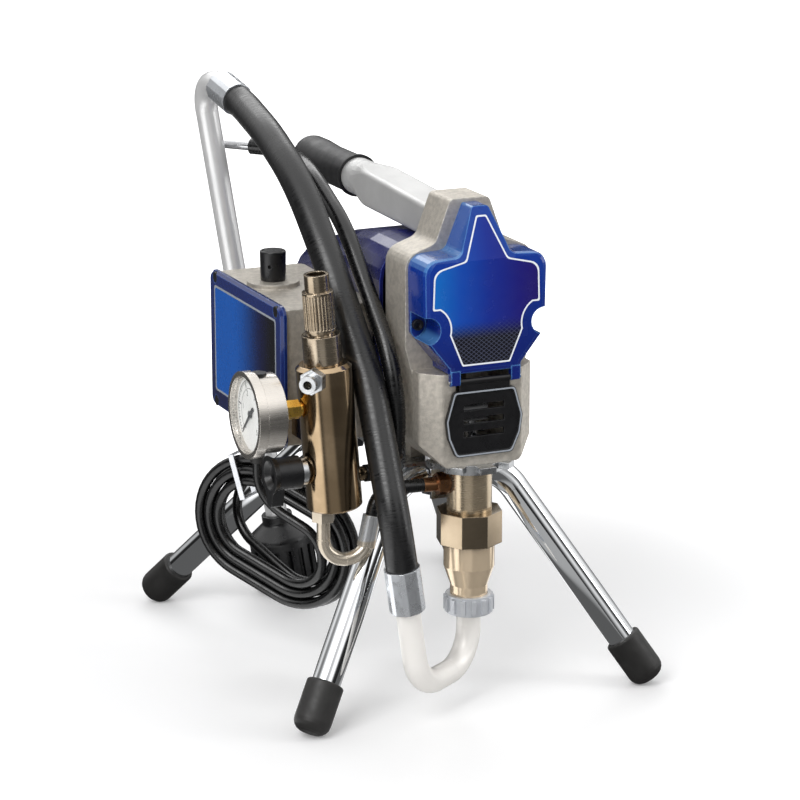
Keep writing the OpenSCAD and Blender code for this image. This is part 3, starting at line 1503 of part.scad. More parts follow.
module gauge_fitting() {
  hex = 14;
  wall = 2;
  gap_x = filter_wall_x(gauge_z);
  color("#c9a13b") {
    x_rod(gauge_port_d, gauge_back_x - wall, gap_x + 5, filter_y, gauge_z);
    translate([gauge_back_x, filter_y, gauge_z]) rotate([0, 90, 0]) hex_bar(hex, gap_x - gauge_back_x - 2);
  }
}
valve_stem_d = 10;
valve_out = 6;
valve_stem_short = 4;
valve_face_x = filter_wall_x(valve_z) - valve_out;
valve_handle_len = 20;
module prime_valve() {
  collar_d = 22;
  stem_end_x = valve_face_x - valve_handle_len + valve_stem_short;
  color("lightgray") union() {
    x_rod(valve_port_d, valve_face_x, filter_axis_x(valve_z) - filter_bore / 2 - 1, filter_y, valve_z);
    x_rod(collar_d, valve_face_x, valve_face_x + 5, filter_y, valve_z);
    x_rod(valve_stem_d, stem_end_x, valve_face_x, filter_y, valve_z);
  }
}
module prime_valve_handle() {
  x1 = valve_face_x - pass;
  x0 = x1 - valve_handle_len;
  flare = 5;
  bill_len = 26;
  bill = [[11, 0], [4.5, -bill_len], [-4.5, -bill_len], [-11, 0]];
  color("#1a1a1a") difference() {
    union() {
      x_rod(valve_d, x0, x1, filter_y, valve_z);
      translate([x0 - flare, filter_y, valve_z]) rotate([0, 90, 0])
        cylinder(d1 = valve_d + 5, d2 = valve_d, h = flare);
      translate([x0 - flare, filter_y, valve_z]) rotate([90, 0, 90]) linear_extrude(2 * flare)
        polygon(rounded(bill, [0, 3, 3, 0]));
    }
    x_rod(valve_stem_d + 2 * fit, valve_face_x - valve_handle_len + valve_stem_short - pass, x1 + over,
      filter_y, valve_z);
    translate([x0 - flare - over, filter_y, valve_z]) rotate([0, 90, 0])
      cylinder(d1 = valve_d - 2, d2 = valve_d - 10, h = flare + over);
  }
}

// High-pressure line from the filter to the pump
hp_hose_d = 11;
hp_bend = 18;
hp_low_z = 134;
hp_rise = [-84, 6, 168];
hp_foot = [-93, 3, hp_low_z];
hp_up = unit(hp_rise - hp_foot);
hp_lead = 21.5;
hp_turn = hp_rise + hp_up * hp_lead;
hp_hose_z = hp_turn.z;
hp_hose_bend = 20;
outlet_dir = unit([hp_turn.x, hp_turn.y, 0]);
module high_pressure_tube() {
  seat = 3;
  route = [[hp_port_x, filter_y, filter_z + seat], [hp_port_x, filter_y, hp_low_z], hp_foot, hp_rise];
  nut_h = 9;
  nut_across = 17;
  sleeve_d = 15;
  sleeve_len = 26;
  color("#c6b497") {
    bent_bar(route, [hp_bend, hp_bend], hp_tube_d);
    translate([hp_port_x, filter_y, filter_z - hp_boss_h - nut_h]) hex_bar(nut_across, nut_h);
    along(hp_rise, -hp_up) cylinder(d = sleeve_d, h = sleeve_len);
  }
}
module high_pressure_hose() {
  color("#1b1b1b")
    bent_bar([hp_rise, hp_turn, outlet_dir * fitting_len + [0, 0, hp_hose_z]], [hp_hose_bend], hp_hose_d);
}

// Power cord: gland, lead, hank of loops, tie and plug
boot_len = 42;
boot_end_d = 12;
gland_pos = [gland_x, gland_y, box_bottom_z];
module cord_gland() {
  flange_d = 20;
  flange_t = 4;
  color("#151515") translate(gland_pos) union() {
    translate([0, 0, -flange_t]) cylinder(d = flange_d, h = flange_t);
    translate([0, 0, -boot_len]) cylinder(d1 = boot_end_d, d2 = flange_d - 3, h = boot_len - flange_t);
    cylinder(d = gland_d - 2 * fit, h = 2 * box_wall);
  }
}
coil_centre = [-105, 162, 110];
coil_turn = -51.5;
coil_tilt = 23.6;
coil_gap = 0.9;
coil_pitch = cord_d + coil_gap;
layer_pitch = cord_d + 1;
lead_in = 11;
// Shares of a loop over which the lead sinks into the coil and the tail leaves it
sink_from = 0.17;
sink_span = 0.35;
tail_from = 0.55;
tail_span = 0.4;
tail_rise = 0.35;
// Share of a loop over which the cord passes from the first layer to the second
layer_swap = 0.5;
tail_out = 20;
loop_rings = 24;
run_rings = 4;
end_rings = 8;
coil_x = [cos(coil_tilt) * cos(coil_turn), cos(coil_tilt) * sin(coil_turn), -sin(coil_tilt)];
coil_z = [sin(coil_tilt) * cos(coil_turn), sin(coil_tilt) * sin(coil_turn), cos(coil_tilt)];
coil_n = cross(coil_x, coil_z);
function smooth(s) = let (c = min(1, max(0, s))) c * c * (3 - 2 * c);
// Point of a stadium loop of end radius r, for ring k of a loop
function stadium(k, r) =
  k < run_rings ? [-coil_run + 2 * coil_run * k / run_rings, r]
  : k < run_rings + end_rings
  ? let (a = 180 * (k - run_rings) / end_rings) [coil_run + r * sin(a), r * cos(a)]
  : k < 2 * run_rings + end_rings ? [coil_run - 2 * coil_run * (k - run_rings - end_rings) / run_rings, -r]
  : let (a = 180 * (k - 2 * run_rings - end_rings) / end_rings) [-coil_run - r * sin(a), -r * cos(a)];
coil_rings = 2 * coil_loops * loop_rings;
function coil_point(i) =
  let (
    t = i / loop_rings,
    left = 2 * coil_loops - t,
    r = coil_r + coil_pitch * (min(t, left) + smooth((tail_rise - left) / tail_rise)),
    p = stadium(i % loop_rings, r),
    n = layer_pitch / 2 - layer_pitch * smooth((t - coil_loops) / layer_swap + 1 / 2)
      + lead_in * (1 - smooth((t - sink_from) / sink_span))
      - tail_out * smooth((tail_from - left) / tail_span)
  )
  coil_centre + coil_x * p.x + coil_z * p.y + coil_n * n;
coil_body = [for (i = [run_rings:coil_rings]) coil_point(i)];
coil_start = coil_body[0] - coil_x * cord_d;
coil_end = last(coil_body) + coil_x * cord_d;
coil_path = concat([coil_start], coil_body, [coil_end]);
gap_steps = 6;
coil_least_gap = min([
  for (i = [0:len(coil_body) - 1], j = [i + gap_steps:len(coil_body) - 1]) norm(coil_body[i] - coil_body[j])
]) - cord_d;
echo(coil_least_gap = coil_least_gap);
function tangent(path, i) = unit(path[min(i + 1, len(path) - 1)] - path[max(i - 1, 0)]);
// Ring of a swept tube; the first side direction is kept square to the path
function tube_ring(path, i, side, d, sides) =
  let (t = tangent(path, i), a = unit(side - (side * t) * t), b = cross(t, a))
  [for (k = [0:sides - 1]) path[i] + d / 2 * (a * cos(360 * k / sides) - b * sin(360 * k / sides))];
module cord_tube(path, side, d, sides) {
  loft([for (i = [0:len(path) - 1]) tube_ring(path, i, side, d, sides)], true);
}
lead_drop = 14;
lead_reach = 20;
lead_rings = 9;
// Smooth path between two ends with a straight start and finish
function eased(a, b, c, d, s) =
  pow(1 - s, 3) * a + 3 * s * pow(1 - s, 2) * b + 3 * s * s * (1 - s) * c + pow(s, 3) * d;
lead_top = gland_pos - [0, 0, boot_len];
lead_from = lead_top - [0, 0, cord_d];
lead_to = coil_start - coil_x * cord_d;
lead_route = concat(
  [lead_top],
  [for (i = [0:lead_rings])
    eased(lead_from, lead_from - [0, 0, lead_drop], lead_to - coil_x * lead_reach, lead_to, i / lead_rings)],
  [coil_start]
);
lead_sides = 10;
coil_sides = 6;
module cord_lead() {
  color("#141414") cord_tube(lead_route, coil_n, cord_d, lead_sides);
}
module cord_coil() {
  color("#141414") cord_tube(coil_path, coil_n, cord_d, coil_sides);
}
plug_w = 26;
plug_len = 38;
pin_len = 18;
pin_d = 4.8;
pin_half = 9.5;
module power_plug() {
  color("#161616") translate(coil_end) multmatrix([
    [-coil_n.x, coil_z.x, coil_x.x, 0],
    [-coil_n.y, coil_z.y, coil_x.y, 0],
    [-coil_n.z, coil_z.z, coil_x.z, 0],
    [0, 0, 0, 1]
  ]) {
    cylinder(d1 = cord_d + 3, d2 = plug_w, h = plug_len / 2);
    translate([0, 0, plug_len / 2]) cylinder(d = plug_w, h = plug_len / 2);
    for (side = [-1, 1]) translate([0, side * pin_half, plug_len]) cylinder(d = pin_d, h = pin_len);
  }
}
tie_gap = 0.6;
tie_t = 1.2;
tie_w = 5;
tie_angle = 130;
module cord_tie() {
  r0 = coil_r - cord_d / 2 - tie_gap;
  r1 = coil_r + coil_loops * coil_pitch + cord_d / 2 + tie_gap;
  n1 = layer_pitch / 2 + cord_d / 2 + tie_gap;
  color("silver") multmatrix([
    [coil_x.x, coil_z.x, coil_n.x, coil_centre.x], [coil_x.y, coil_z.y, coil_n.y, coil_centre.y],
    [coil_x.z, coil_z.z, coil_n.z, coil_centre.z], [0, 0, 0, 1]
  ]) translate([-coil_run, 0, 0]) rotate([0, 0, tie_angle]) difference() {
    translate([r0 - tie_t, -tie_w / 2, -n1 - tie_t]) cube([r1 - r0 + 2 * tie_t, tie_w, 2 * n1 + 2 * tie_t]);
    translate([r0, -tie_w, -n1]) cube([r1 - r0, 2 * tie_w, 2 * n1]);
  }
}

module placed() {
  translate([0, -stand_mid_y, 0]) children();
}
placed() front_legs();
placed() rear_legs();
placed() leg_caps();
placed() stand_bracket();
placed() screws_and_bolts();
placed() drive_housing();
placed() front_cover();
placed() pump_door();
placed() door_hinge_pin();
placed() handle_arm();
placed() handle_grip();
placed() motor_front_bell();
placed() motor_can();
placed() motor_rotor();
placed() motor_fan();
placed() motor_shroud();
placed() crankshaft();
placed() crank_gear();
placed() crank_bearing();
placed() connecting_rod();
placed() wrist_pin();
placed() pump_rod();
placed() piston_seal();
placed() packing_nut();
placed() pump_cylinder();
placed() jam_nut();
placed() pump_outlet_fitting();
placed() intake_housing();
placed() intake_ball();
placed() suction_nut();
placed() suction_pipe();
placed() hose_ferrules();
placed() suction_hose();
placed() suction_tube();
placed() strainer();
placed() drain_tube();
placed() drain_hose();
placed() control_housing();
placed() control_cover();
placed() control_board();
placed() pressure_knob();
placed() power_switch_lever();
placed() filter_body();
placed() filter_cap();
placed() filter_element();
placed() outlet_nipple();
placed() pressure_gauge();
placed() gauge_dial();
placed() gauge_lens();
placed() gauge_needle();
placed() gauge_fitting();
placed() prime_valve();
placed() prime_valve_handle();
placed() high_pressure_tube();
placed() high_pressure_hose();
placed() cord_gland();
placed() cord_lead();
placed() cord_coil();
placed() power_plug();
placed() cord_tie();
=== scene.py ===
"""Looks of the airless paint sprayer: camera, studio, materials, cord, hoses, decals and dial marks."""
import math

import bmesh
import bpy
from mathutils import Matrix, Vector
from mathutils.geometry import delaunay_2d_cdt


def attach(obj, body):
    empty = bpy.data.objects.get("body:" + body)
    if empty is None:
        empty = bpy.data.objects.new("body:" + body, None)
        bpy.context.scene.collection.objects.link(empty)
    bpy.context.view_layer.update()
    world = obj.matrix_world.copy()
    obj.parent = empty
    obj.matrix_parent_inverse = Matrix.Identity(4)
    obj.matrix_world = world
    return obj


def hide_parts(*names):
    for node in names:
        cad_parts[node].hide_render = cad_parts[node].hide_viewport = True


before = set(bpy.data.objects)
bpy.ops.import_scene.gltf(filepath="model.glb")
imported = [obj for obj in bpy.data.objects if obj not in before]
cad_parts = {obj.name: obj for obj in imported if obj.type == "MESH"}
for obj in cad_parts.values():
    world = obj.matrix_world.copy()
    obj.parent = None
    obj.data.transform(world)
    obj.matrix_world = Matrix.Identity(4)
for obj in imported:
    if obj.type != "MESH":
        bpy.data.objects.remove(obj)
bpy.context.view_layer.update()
scene = bpy.context.scene
scene.view_settings.view_transform = "Standard"
MM = 0.001
WHITE = (1, 1, 1, 1)

# Sizes and places of the part's source, in millimetres, and the slope of the cover's nose
STAND_MID_Y = 157.5
GAUGE_Y, GAUGE_Z, DIAL_X = 10, 263, -186
COVER_FRONT_Y, LEAN_Z, LEAN = -30.0, 379.0, math.tan(math.radians(19))
BOX_FACE_X, BOX_MID_Y = -141, 139
DOOR_FACE_Y = -27.9
HOSE_D, DRAIN_D, PRESSURE_D = 26, 14, 11


def at(x, y, z):
    """A point of the part's source, in millimetres from the pump axis, in the frame."""
    return Vector((x, y - STAND_MID_Y, z)) * MM


def lin(red, green, blue):
    """A display colour from 0 to 255 as a linear one."""
    def one(v):
        v /= 255
        return v / 12.92 if v <= 0.04045 else ((v + 0.055) / 1.055) ** 2.4
    return (one(red), one(green), one(blue), 1.0)


# ---------------------------------------------------------------- camera
camera_data = bpy.data.cameras.new("camera")
camera_data.lens = 136.2
camera_data.sensor_width = 36
camera_data.clip_end = 50
camera = bpy.data.objects.new("camera", camera_data)
camera.location = (-1.0136, -2.2949, 0.8993)
camera.rotation_mode = "QUATERNION"
camera.rotation_quaternion = Vector((0.3925, 0.8816, -0.2622)).to_track_quat("-Z", "Y")
scene.collection.objects.link(camera)
scene.camera = camera


# ---------------------------------------------------------------- cord, from the source's own formulas
CORD_D = 8.5
LEAD_TOP = Vector((-123, 160, 176))
COIL_CENTRE = Vector((-105, 162, 110))
COIL_TURN, COIL_TILT = math.radians(-51.5), math.radians(23.6)
COIL_X = Vector((math.cos(COIL_TILT) * math.cos(COIL_TURN), math.cos(COIL_TILT) * math.sin(COIL_TURN),
                 -math.sin(COIL_TILT)))
COIL_Z = Vector((math.sin(COIL_TILT) * math.cos(COIL_TURN), math.sin(COIL_TILT) * math.sin(COIL_TURN),
                 math.cos(COIL_TILT)))
COIL_N = COIL_X.cross(COIL_Z)
COIL_RUN, COIL_R, COIL_LOOPS = 24, 26, 3
COIL_PITCH, LAYER_PITCH = 9.4, 9.5
LEAD_IN, TAIL_OUT, TAIL_RISE = 11, 20, 0.35
SINK_FROM, SINK_SPAN, TAIL_FROM, TAIL_SPAN, LAYER_SWAP = 0.17, 0.35, 0.55, 0.4, 0.5
LEAD_DROP, LEAD_REACH = 14, 20
LOOP_RINGS, RUN_RINGS, END_RINGS = 24, 4, 8
# The smooth skin has more rings than the source's tube, and more sides
FINE, LEAD_STEPS, CORD_SIDES = 3, 18, 24


def smooth(s):
    """A soft step from 0 to 1."""
    c = min(1, max(0, s))
    return c * c * (3 - 2 * c)


def stadium(k, r):
    """Point k of a loop of two runs and two round ends of radius r."""
    if k < RUN_RINGS:
        return -COIL_RUN + 2 * COIL_RUN * k / RUN_RINGS, r
    k -= RUN_RINGS
    if k < END_RINGS:
        a = math.pi * k / END_RINGS
        return COIL_RUN + r * math.sin(a), r * math.cos(a)
    k -= END_RINGS
    if k < RUN_RINGS:
        return COIL_RUN - 2 * COIL_RUN * k / RUN_RINGS, -r
    a = math.pi * (k - RUN_RINGS) / END_RINGS
    return -COIL_RUN - r * math.sin(a), -r * math.cos(a)


def coil_point(i):
    """The hank winds outwards in one layer and inwards in the other."""
    t = i / LOOP_RINGS
    left = 2 * COIL_LOOPS - t
    r = COIL_R + COIL_PITCH * (min(t, left) + smooth((TAIL_RISE - left) / TAIL_RISE))
    x, z = stadium(i % LOOP_RINGS, r)
    n = LAYER_PITCH / 2 - LAYER_PITCH * smooth((t - COIL_LOOPS) / LAYER_SWAP + 0.5)
    n += LEAD_IN * (1 - smooth((t - SINK_FROM) / SINK_SPAN))
    n -= TAIL_OUT * smooth((TAIL_FROM - left) / TAIL_SPAN)
    return COIL_CENTRE + COIL_X * x + COIL_Z * z + COIL_N * n


def bezier(a, b, c, d, steps):
    """Points of a cubic curve."""
    for i in range(steps + 1):
        s = i / steps
        q = 1 - s
        yield q ** 3 * a + 3 * s * q * q * b + 3 * s * s * q * c + s ** 3 * d


first, last = RUN_RINGS * FINE, 2 * COIL_LOOPS * LOOP_RINGS * FINE
coil_body = [coil_point(i / FINE) for i in range(first, last + 1)]
coil_start = coil_body[0] - COIL_X * CORD_D
coil_end = coil_body[-1] + COIL_X * CORD_D
lead_from = LEAD_TOP - Vector((0, 0, CORD_D))
lead_to = coil_start - COIL_X * CORD_D
lead = bezier(lead_from, lead_from - Vector((0, 0, LEAD_DROP)), lead_to - COIL_X * LEAD_REACH, lead_to,
              LEAD_STEPS)
cord_path = [at(*p) for p in [LEAD_TOP, *lead, coil_start, *coil_body, coil_end]]


def mesh_piece(name, body, bm, material=None, shade_angle=40):
    """A piece that rides on a body of the part, shaded smooth where edges turn less than shade_angle."""
    mesh = bpy.data.meshes.new(name)
    bmesh.ops.recalc_face_normals(bm, faces=bm.faces)
    bm.to_mesh(mesh)
    bm.free()
    mesh.polygons.foreach_set("use_smooth", [True] * len(mesh.polygons))
    mesh.set_sharp_from_angle(angle=math.radians(shade_angle))
    if material:
        mesh.materials.append(material)
    piece = bpy.data.objects.new(name, mesh)
    scene.collection.objects.link(piece)
    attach(piece, body)
    return piece


def spread(path, step):
    """The path again, with points no further apart than step."""
    dense = [path[0]]
    for a, b in zip(path, path[1:]):
        count = max(1, math.ceil((b - a).length / step))
        dense += [a.lerp(b, i / count) for i in range(1, count + 1)]
    return dense


def tube_mesh(path, radius, sides):
    """A closed tube along path, with its length and girth as UV."""
    bm = bmesh.new()
    uv = bm.loops.layers.uv.new("UVMap")
    side = (path[1] - path[0]).orthogonal().normalized()
    rings, run = [], [0.0]
    for i, p in enumerate(path):
        t = (path[min(i + 1, len(path) - 1)] - path[max(i - 1, 0)]).normalized()
        side = (side - side.dot(t) * t).normalized()
        other = t.cross(side)
        turns = [2 * math.pi * k / sides for k in range(sides)]
        rings.append([bm.verts.new(p + radius * (side * math.cos(a) + other * math.sin(a))) for a in turns])
        if i:
            run.append(run[-1] + (p - path[i - 1]).length)
    girth = 2 * math.pi * radius / sides
    for i in range(len(rings) - 1):
        for k in range(sides):
            j = (k + 1) % sides
            face = bm.faces.new((rings[i][k], rings[i][j], rings[i + 1][j], rings[i + 1][k]))
            for loop, (u, v) in zip(face.loops, ((i, k), (i, k + 1), (i + 1, k + 1), (i + 1, k))):
                loop[uv].uv = (run[u], v * girth)
    bm.faces.new(rings[0])
    bm.faces.new(rings[-1])
    return bm


cord_skin = tube_mesh(cord_path, CORD_D * MM / 2, CORD_SIDES)
power_cord = mesh_piece("power_cord", "frame", cord_skin)
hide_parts("cord_lead", "cord_coil")


# ---------------------------------------------------------------- materials
class Nodes:
    """Short names for building a tree of nodes."""

    def __init__(self, tree):
        self.tree = tree
        self.coord = self.new("TexCoord")

    def new(self, kind, **settings):
        node = self.tree.nodes.new("ShaderNode" + kind)
        for key, value in settings.items():
            setattr(node, key, value)
        return node

    def set(self, socket, value):
        """Links a node's output to a socket, or sets the socket's own value."""
        if isinstance(value, bpy.types.NodeSocket):
            self.tree.links.new(value, socket)
        else:
            socket.default_value = value

    def place(self, stretch, turn, source):
        node = self.new("Mapping")
        self.set(node.inputs["Vector"], self.coord.outputs[source])
        node.inputs["Scale"].default_value = stretch
        node.inputs["Rotation"].default_value = [math.radians(a) for a in turn]
        return node.outputs["Vector"]

    def noise(self, scale, detail=3, stretch=(1, 1, 1), turn=(0, 0, 0), source="Object"):
        node = self.new("TexNoise")
        self.set(node.inputs["Vector"], self.place(stretch, turn, source))
        node.inputs["Scale"].default_value = scale
        node.inputs["Detail"].default_value = detail
        return node.outputs["Fac"]

    def patches(self, scale, detail=3, to_low=0.0, to_high=1.0):
        """Soft patches from the middle of the noise's range."""
        return self.span(self.noise(scale, detail), 0.3, 0.7, to_low, to_high)

    def wave(self, scale, turn):
        node = self.new("TexWave", bands_direction="Z")
        self.set(node.inputs["Vector"], self.place((1, 1, 1), turn, "Object"))
        node.inputs["Scale"].default_value = scale
        return node.outputs["Fac"]

    def span(self, value, low, high, to_low=0.0, to_high=1.0):
        """A soft ramp of a value from one range to another."""
        node = self.new("MapRange", interpolation_type="SMOOTHSTEP")
        self.set(node.inputs["Value"], value)
        for name, v in (("From Min", low), ("From Max", high), ("To Min", to_low), ("To Max", to_high)):
            self.set(node.inputs[name], v)
        return node.outputs["Result"]

    def math(self, operation, a, b=0.0):
        node = self.new("Math", operation=operation)
        self.set(node.inputs[0], a)
        self.set(node.inputs[1], b)
        return node.outputs[0]

    def mix(self, factor, a, b):
        """Mixes two colours, whose sockets come after those for numbers and vectors."""
        node = self.new("Mix", data_type="RGBA")
        self.set(node.inputs["Factor"], factor)
        self.set(node.inputs[6], a)
        self.set(node.inputs[7], b)
        return node.outputs[2]

    def axis(self, name, source="Object"):
        """One coordinate, in metres."""
        node = self.new("SeparateXYZ")
        self.set(node.inputs[0], self.coord.outputs[source])
        return node.outputs[name]

    def edge(self, radius):
        """How near a sharp edge is, from 0 to 1, and the softened normal."""
        soft = self.new("Bevel", samples=4)
        soft.inputs["Radius"].default_value = radius
        geometry = self.new("NewGeometry")
        dot = self.new("VectorMath", operation="DOT_PRODUCT")
        self.set(dot.inputs[0], soft.outputs["Normal"])
        self.set(dot.inputs[1], geometry.outputs["Normal"])
        return self.span(dot.outputs["Value"], 0.995, 0.86), soft.outputs["Normal"]

    def toward(self, vector, direction):
        """The cosine between a unit vector and a direction."""
        node = self.new("VectorMath", operation="DOT_PRODUCT")
        self.set(node.inputs[0], vector)
        node.inputs[1].default_value = Vector(direction).normalized()
        return node.outputs["Value"]

    def glow(self, strength):
        node = self.new("Emission")
        node.inputs["Color"].default_value = WHITE
        self.set(node.inputs["Strength"], strength)
        return node.outputs[0]

    def bump(self, height, distance, normal=None):
        node = self.new("Bump")
        node.inputs["Distance"].default_value = distance
        self.set(node.inputs["Height"], height)
        if normal is not None:
            self.set(node.inputs["Normal"], normal)
        return node.outputs["Normal"]


class Finish(Nodes):
    """The nodes of a new material."""

    def __init__(self, name):
        self.material = bpy.data.materials.new(name)
        self.material.use_nodes = True
        self.shader = self.material.node_tree.nodes["Principled BSDF"]
        super().__init__(self.material.node_tree)

    def finish(self, color, rough, metal=0.0, normal=None, **sockets):
        self.set(self.shader.inputs["Base Color"], color)
        self.set(self.shader.inputs["Roughness"], rough)
        self.set(self.shader.inputs["Metallic"], metal)
        if normal is not None:
            self.set(self.shader.inputs["Normal"], normal)
        for name, value in sockets.items():
            self.set(self.shader.inputs[name.replace("_", " ").title().replace("Ior", "IOR")], value)
        return self.material


def shade(color, factor):
    """A colour made lighter or darker."""
    return tuple(min(1.0, c * factor) for c in color[:3]) + (1.0,)


def surface(name, color, rough, metal, vary, patch, rough_vary, grain, grain_depth, edge=0.0006,
            edge_color=None, edge_amount=0.5, stretch=(1, 1, 1), **sockets):
    """A finish with patches of tone, fine grain, softened edges and wear along them.

    vary and rough_vary are the swing of tone and roughness, patch and grain are counts to a metre, and
    grain_depth and edge are in metres.
    """
    n = Finish(name)
    base = n.mix(n.patches(patch, 4), shade(color, 1 - vary), shade(color, 1 + vary))
    near, soft = n.edge(edge)
    wear = n.math("MULTIPLY", n.math("MULTIPLY", near, n.span(n.noise(220, 3), 0.42, 0.62)), edge_amount)
    base = n.mix(wear, base, edge_color or shade(color, 1.35))
    fine = n.noise(grain, 3, stretch)
    rough_value = n.span(n.noise(patch * 2.5, 4, stretch), 0.25, 0.75, rough - rough_vary, rough + rough_vary)
    return n.finish(base, rough_value, metal, n.bump(fine, grain_depth, soft), **sockets)


CAST = surface("cast_aluminium", lin(190, 184, 174), 0.44, 0.55, 0.13, 240, 0.1, 1100, 0.00034, 0.0016,
               lin(230, 226, 218), 0.9)
ARM = surface("blasted_arm", lin(206, 206, 205), 0.42, 0.45, 0.05, 25, 0.07, 2000, 0.0001, 0.001,
              lin(232, 232, 231))
CHROME = surface("chrome", lin(238, 240, 242), 0.05, 1.0, 0.015, 20, 0.03, 500, 0.000003, 0.0004,
                 stretch=(1, 1, 6))
RUBBER = surface("rubber", lin(34, 33, 32), 0.5, 0.0, 0.18, 60, 0.08, 1300, 0.00004, 0.001, lin(62, 61, 60),
                 specular_ior_level=0.45)
GRIP = surface("grip_rubber", lin(19, 19, 21), 0.44, 0.0, 0.14, 40, 0.08, 1700, 0.00005, 0.001,
               lin(50, 50, 52))
ZINC = surface("zinc_plate", lin(196, 198, 200), 0.3, 1.0, 0.08, 80, 0.09, 700, 0.00002, 0.0007,
               lin(235, 236, 238))
DARK_SCREW = surface("black_oxide", lin(44, 44, 48), 0.36, 0.7, 0.12, 200, 0.08, 900, 0.00002, 0.0006,
                     lin(120, 120, 124))
BLACK = surface("moulded_black", lin(17, 17, 19), 0.32, 0.0, 0.14, 70, 0.07, 1800, 0.00003, 0.0008,
                lin(64, 64, 68))
STEEL = surface("ground_steel", lin(205, 206, 208), 0.22, 1.0, 0.05, 60, 0.06, 900, 0.00001, 0.0006,
                lin(240, 240, 242))
CORE = surface("motor_steel", lin(118, 118, 122), 0.4, 0.9, 0.1, 60, 0.08, 800, 0.00003, 0.0006,
               lin(170, 170, 174))
COPPER = surface("winding", lin(150, 96, 58), 0.42, 0.8, 0.18, 160, 0.1, 600, 0.00008, 0.0006,
                 lin(205, 150, 100))
ALU_TUBE = surface("satin_tube", lin(222, 222, 222), 0.34, 0.45, 0.03, 30, 0.06, 900, 0.00001, 0.0006,
                   lin(240, 240, 240), 0.3, (1, 1, 0.12))
# The bend: the same satin tube, painted paler and less metallic, a painted reflection of the white floor below
# it.
BEND_TUBE = surface("satin_bend", lin(247, 244, 239), 0.36, 0.15, 0.02, 30, 0.06, 900, 0.00001, 0.0006,
                    lin(250, 249, 246), 0.3)
RIBBED = surface("moulded_grey", lin(206, 209, 214), 0.36, 0.4, 0.05, 60, 0.06, 1600, 0.00003, 0.0008,
                 lin(230, 232, 236))
BRASS = surface("brass", lin(234, 190, 92), 0.3, 1.0, 0.06, 90, 0.07, 700, 0.00001, 0.0006,
                lin(240, 206, 120))
COPPER_FIT = surface("copper_plate", lin(150, 108, 76), 0.3, 1.0, 0.1, 90, 0.07, 700, 0.00001, 0.0006,
                     lin(206, 166, 128))
SEAL = surface("white_seal", lin(228, 224, 210), 0.45, 0.0, 0.05, 80, 0.06, 900, 0.00002)
CRIMP = surface("crimped_sleeve", lin(212, 215, 219), 0.3, 0.85, 0.05, 60, 0.07, 900, 0.00002, 0.0008,
                lin(240, 242, 245))
MESH = surface("filter_weave", lin(150, 150, 150), 0.4, 0.8, 0.2, 900, 0.1, 1500, 0.0001)
TIE = surface("foil_tie", lin(206, 208, 212), 0.24, 0.7, 0.06, 120, 0.08, 500, 0.00004, 0.0004,
              lin(240, 240, 244))
CORD_SKIN = surface("cord_skin", lin(13, 13, 14), 0.27, 0.0, 0.15, 70, 0.08, 900, 0.00003, 0.0004,
                    lin(34, 34, 36))
LINE = surface("decal_line", lin(226, 230, 236), 0.32, 0.0, 0.03, 90, 0.04, 900, 0.00001, 0.0002)
GREY_LINE = surface("grey_line", lin(158, 164, 172), 0.34, 0.2, 0.04, 90, 0.05, 900, 0.00001, 0.0002)
PRINT = surface("dial_print", lin(14, 14, 15), 0.5, 0.0, 0.08, 300, 0.05, 900, 0.00001, 0.0001)


def gloss_paint(name, color, deep, rough, edge_color, low_z, high_z, painted_upleft_highlight=0.0, edge_highlight_radius=0.0014, coat=0.08):
    """Gloss paint: painted shade deeper below, painted highlights up to the left and on edges, orange peel and
    a coat.
    """
    n = Finish(name)
    # Painted shade: the blue darkens from high_z down to low_z, by height alone.
    painted_shade_rise = n.span(n.axis("Z"), low_z, high_z)
    base = n.mix(painted_shade_rise, deep, color)
    base = n.mix(n.span(n.noise(18, 3), 0.35, 0.7, 0.0, 0.2), base, shade(color, 1.25))
    # Painted highlight: faces turned up to the left, toward the key lamp, are paler.
    facing = n.toward(n.new("NewGeometry").outputs["Normal"], (-0.5, -0.45, 0.74))
    base = n.mix(n.span(facing, 0.6, 0.97, 0.0, painted_upleft_highlight), base, shade(edge_color, 0.62))
    # Painted highlight: a pale line of edge_color along every edge.
    near, soft = n.edge(edge_highlight_radius)
    base = n.mix(n.math("MULTIPLY", near, 0.7), base, edge_color)
    peel = n.noise(420, 2)
    rough_value = n.patches(60, 3, rough - 0.05, rough + 0.05)
    return n.finish(base, rough_value, 0.0, n.bump(peel, 0.00001, soft), specular_ior_level=0.2,
                    coat_weight=0.6, coat_roughness=coat)


# The blue pieces: painted shade below; the cover also has a painted highlight on faces up to the left.
COVER_BLUE = {"color": lin(6, 50, 142), "deep": lin(7, 24, 98), "rough": 0.26, "edge_color": lin(104, 172, 240),
              "low_z": 0.28, "high_z": 0.4, "painted_upleft_highlight": 0.75}
COVER = gloss_paint("cover_blue", **COVER_BLUE)
# The brow sheets' blue, without the painted edge highlights.
COVER_FACE = gloss_paint("cover_face_blue", **COVER_BLUE, edge_highlight_radius=0.00001)
SHROUD = gloss_paint("shroud_blue", lin(16, 22, 90), lin(8, 12, 58), 0.26, lin(82, 98, 196), low_z=0.26,
                     high_z=0.38, coat=0.24)
PLATE = gloss_paint("plate_blue", lin(10, 34, 98), lin(7, 17, 64), 0.3, lin(84, 122, 204), low_z=0.22,
                    high_z=0.33)


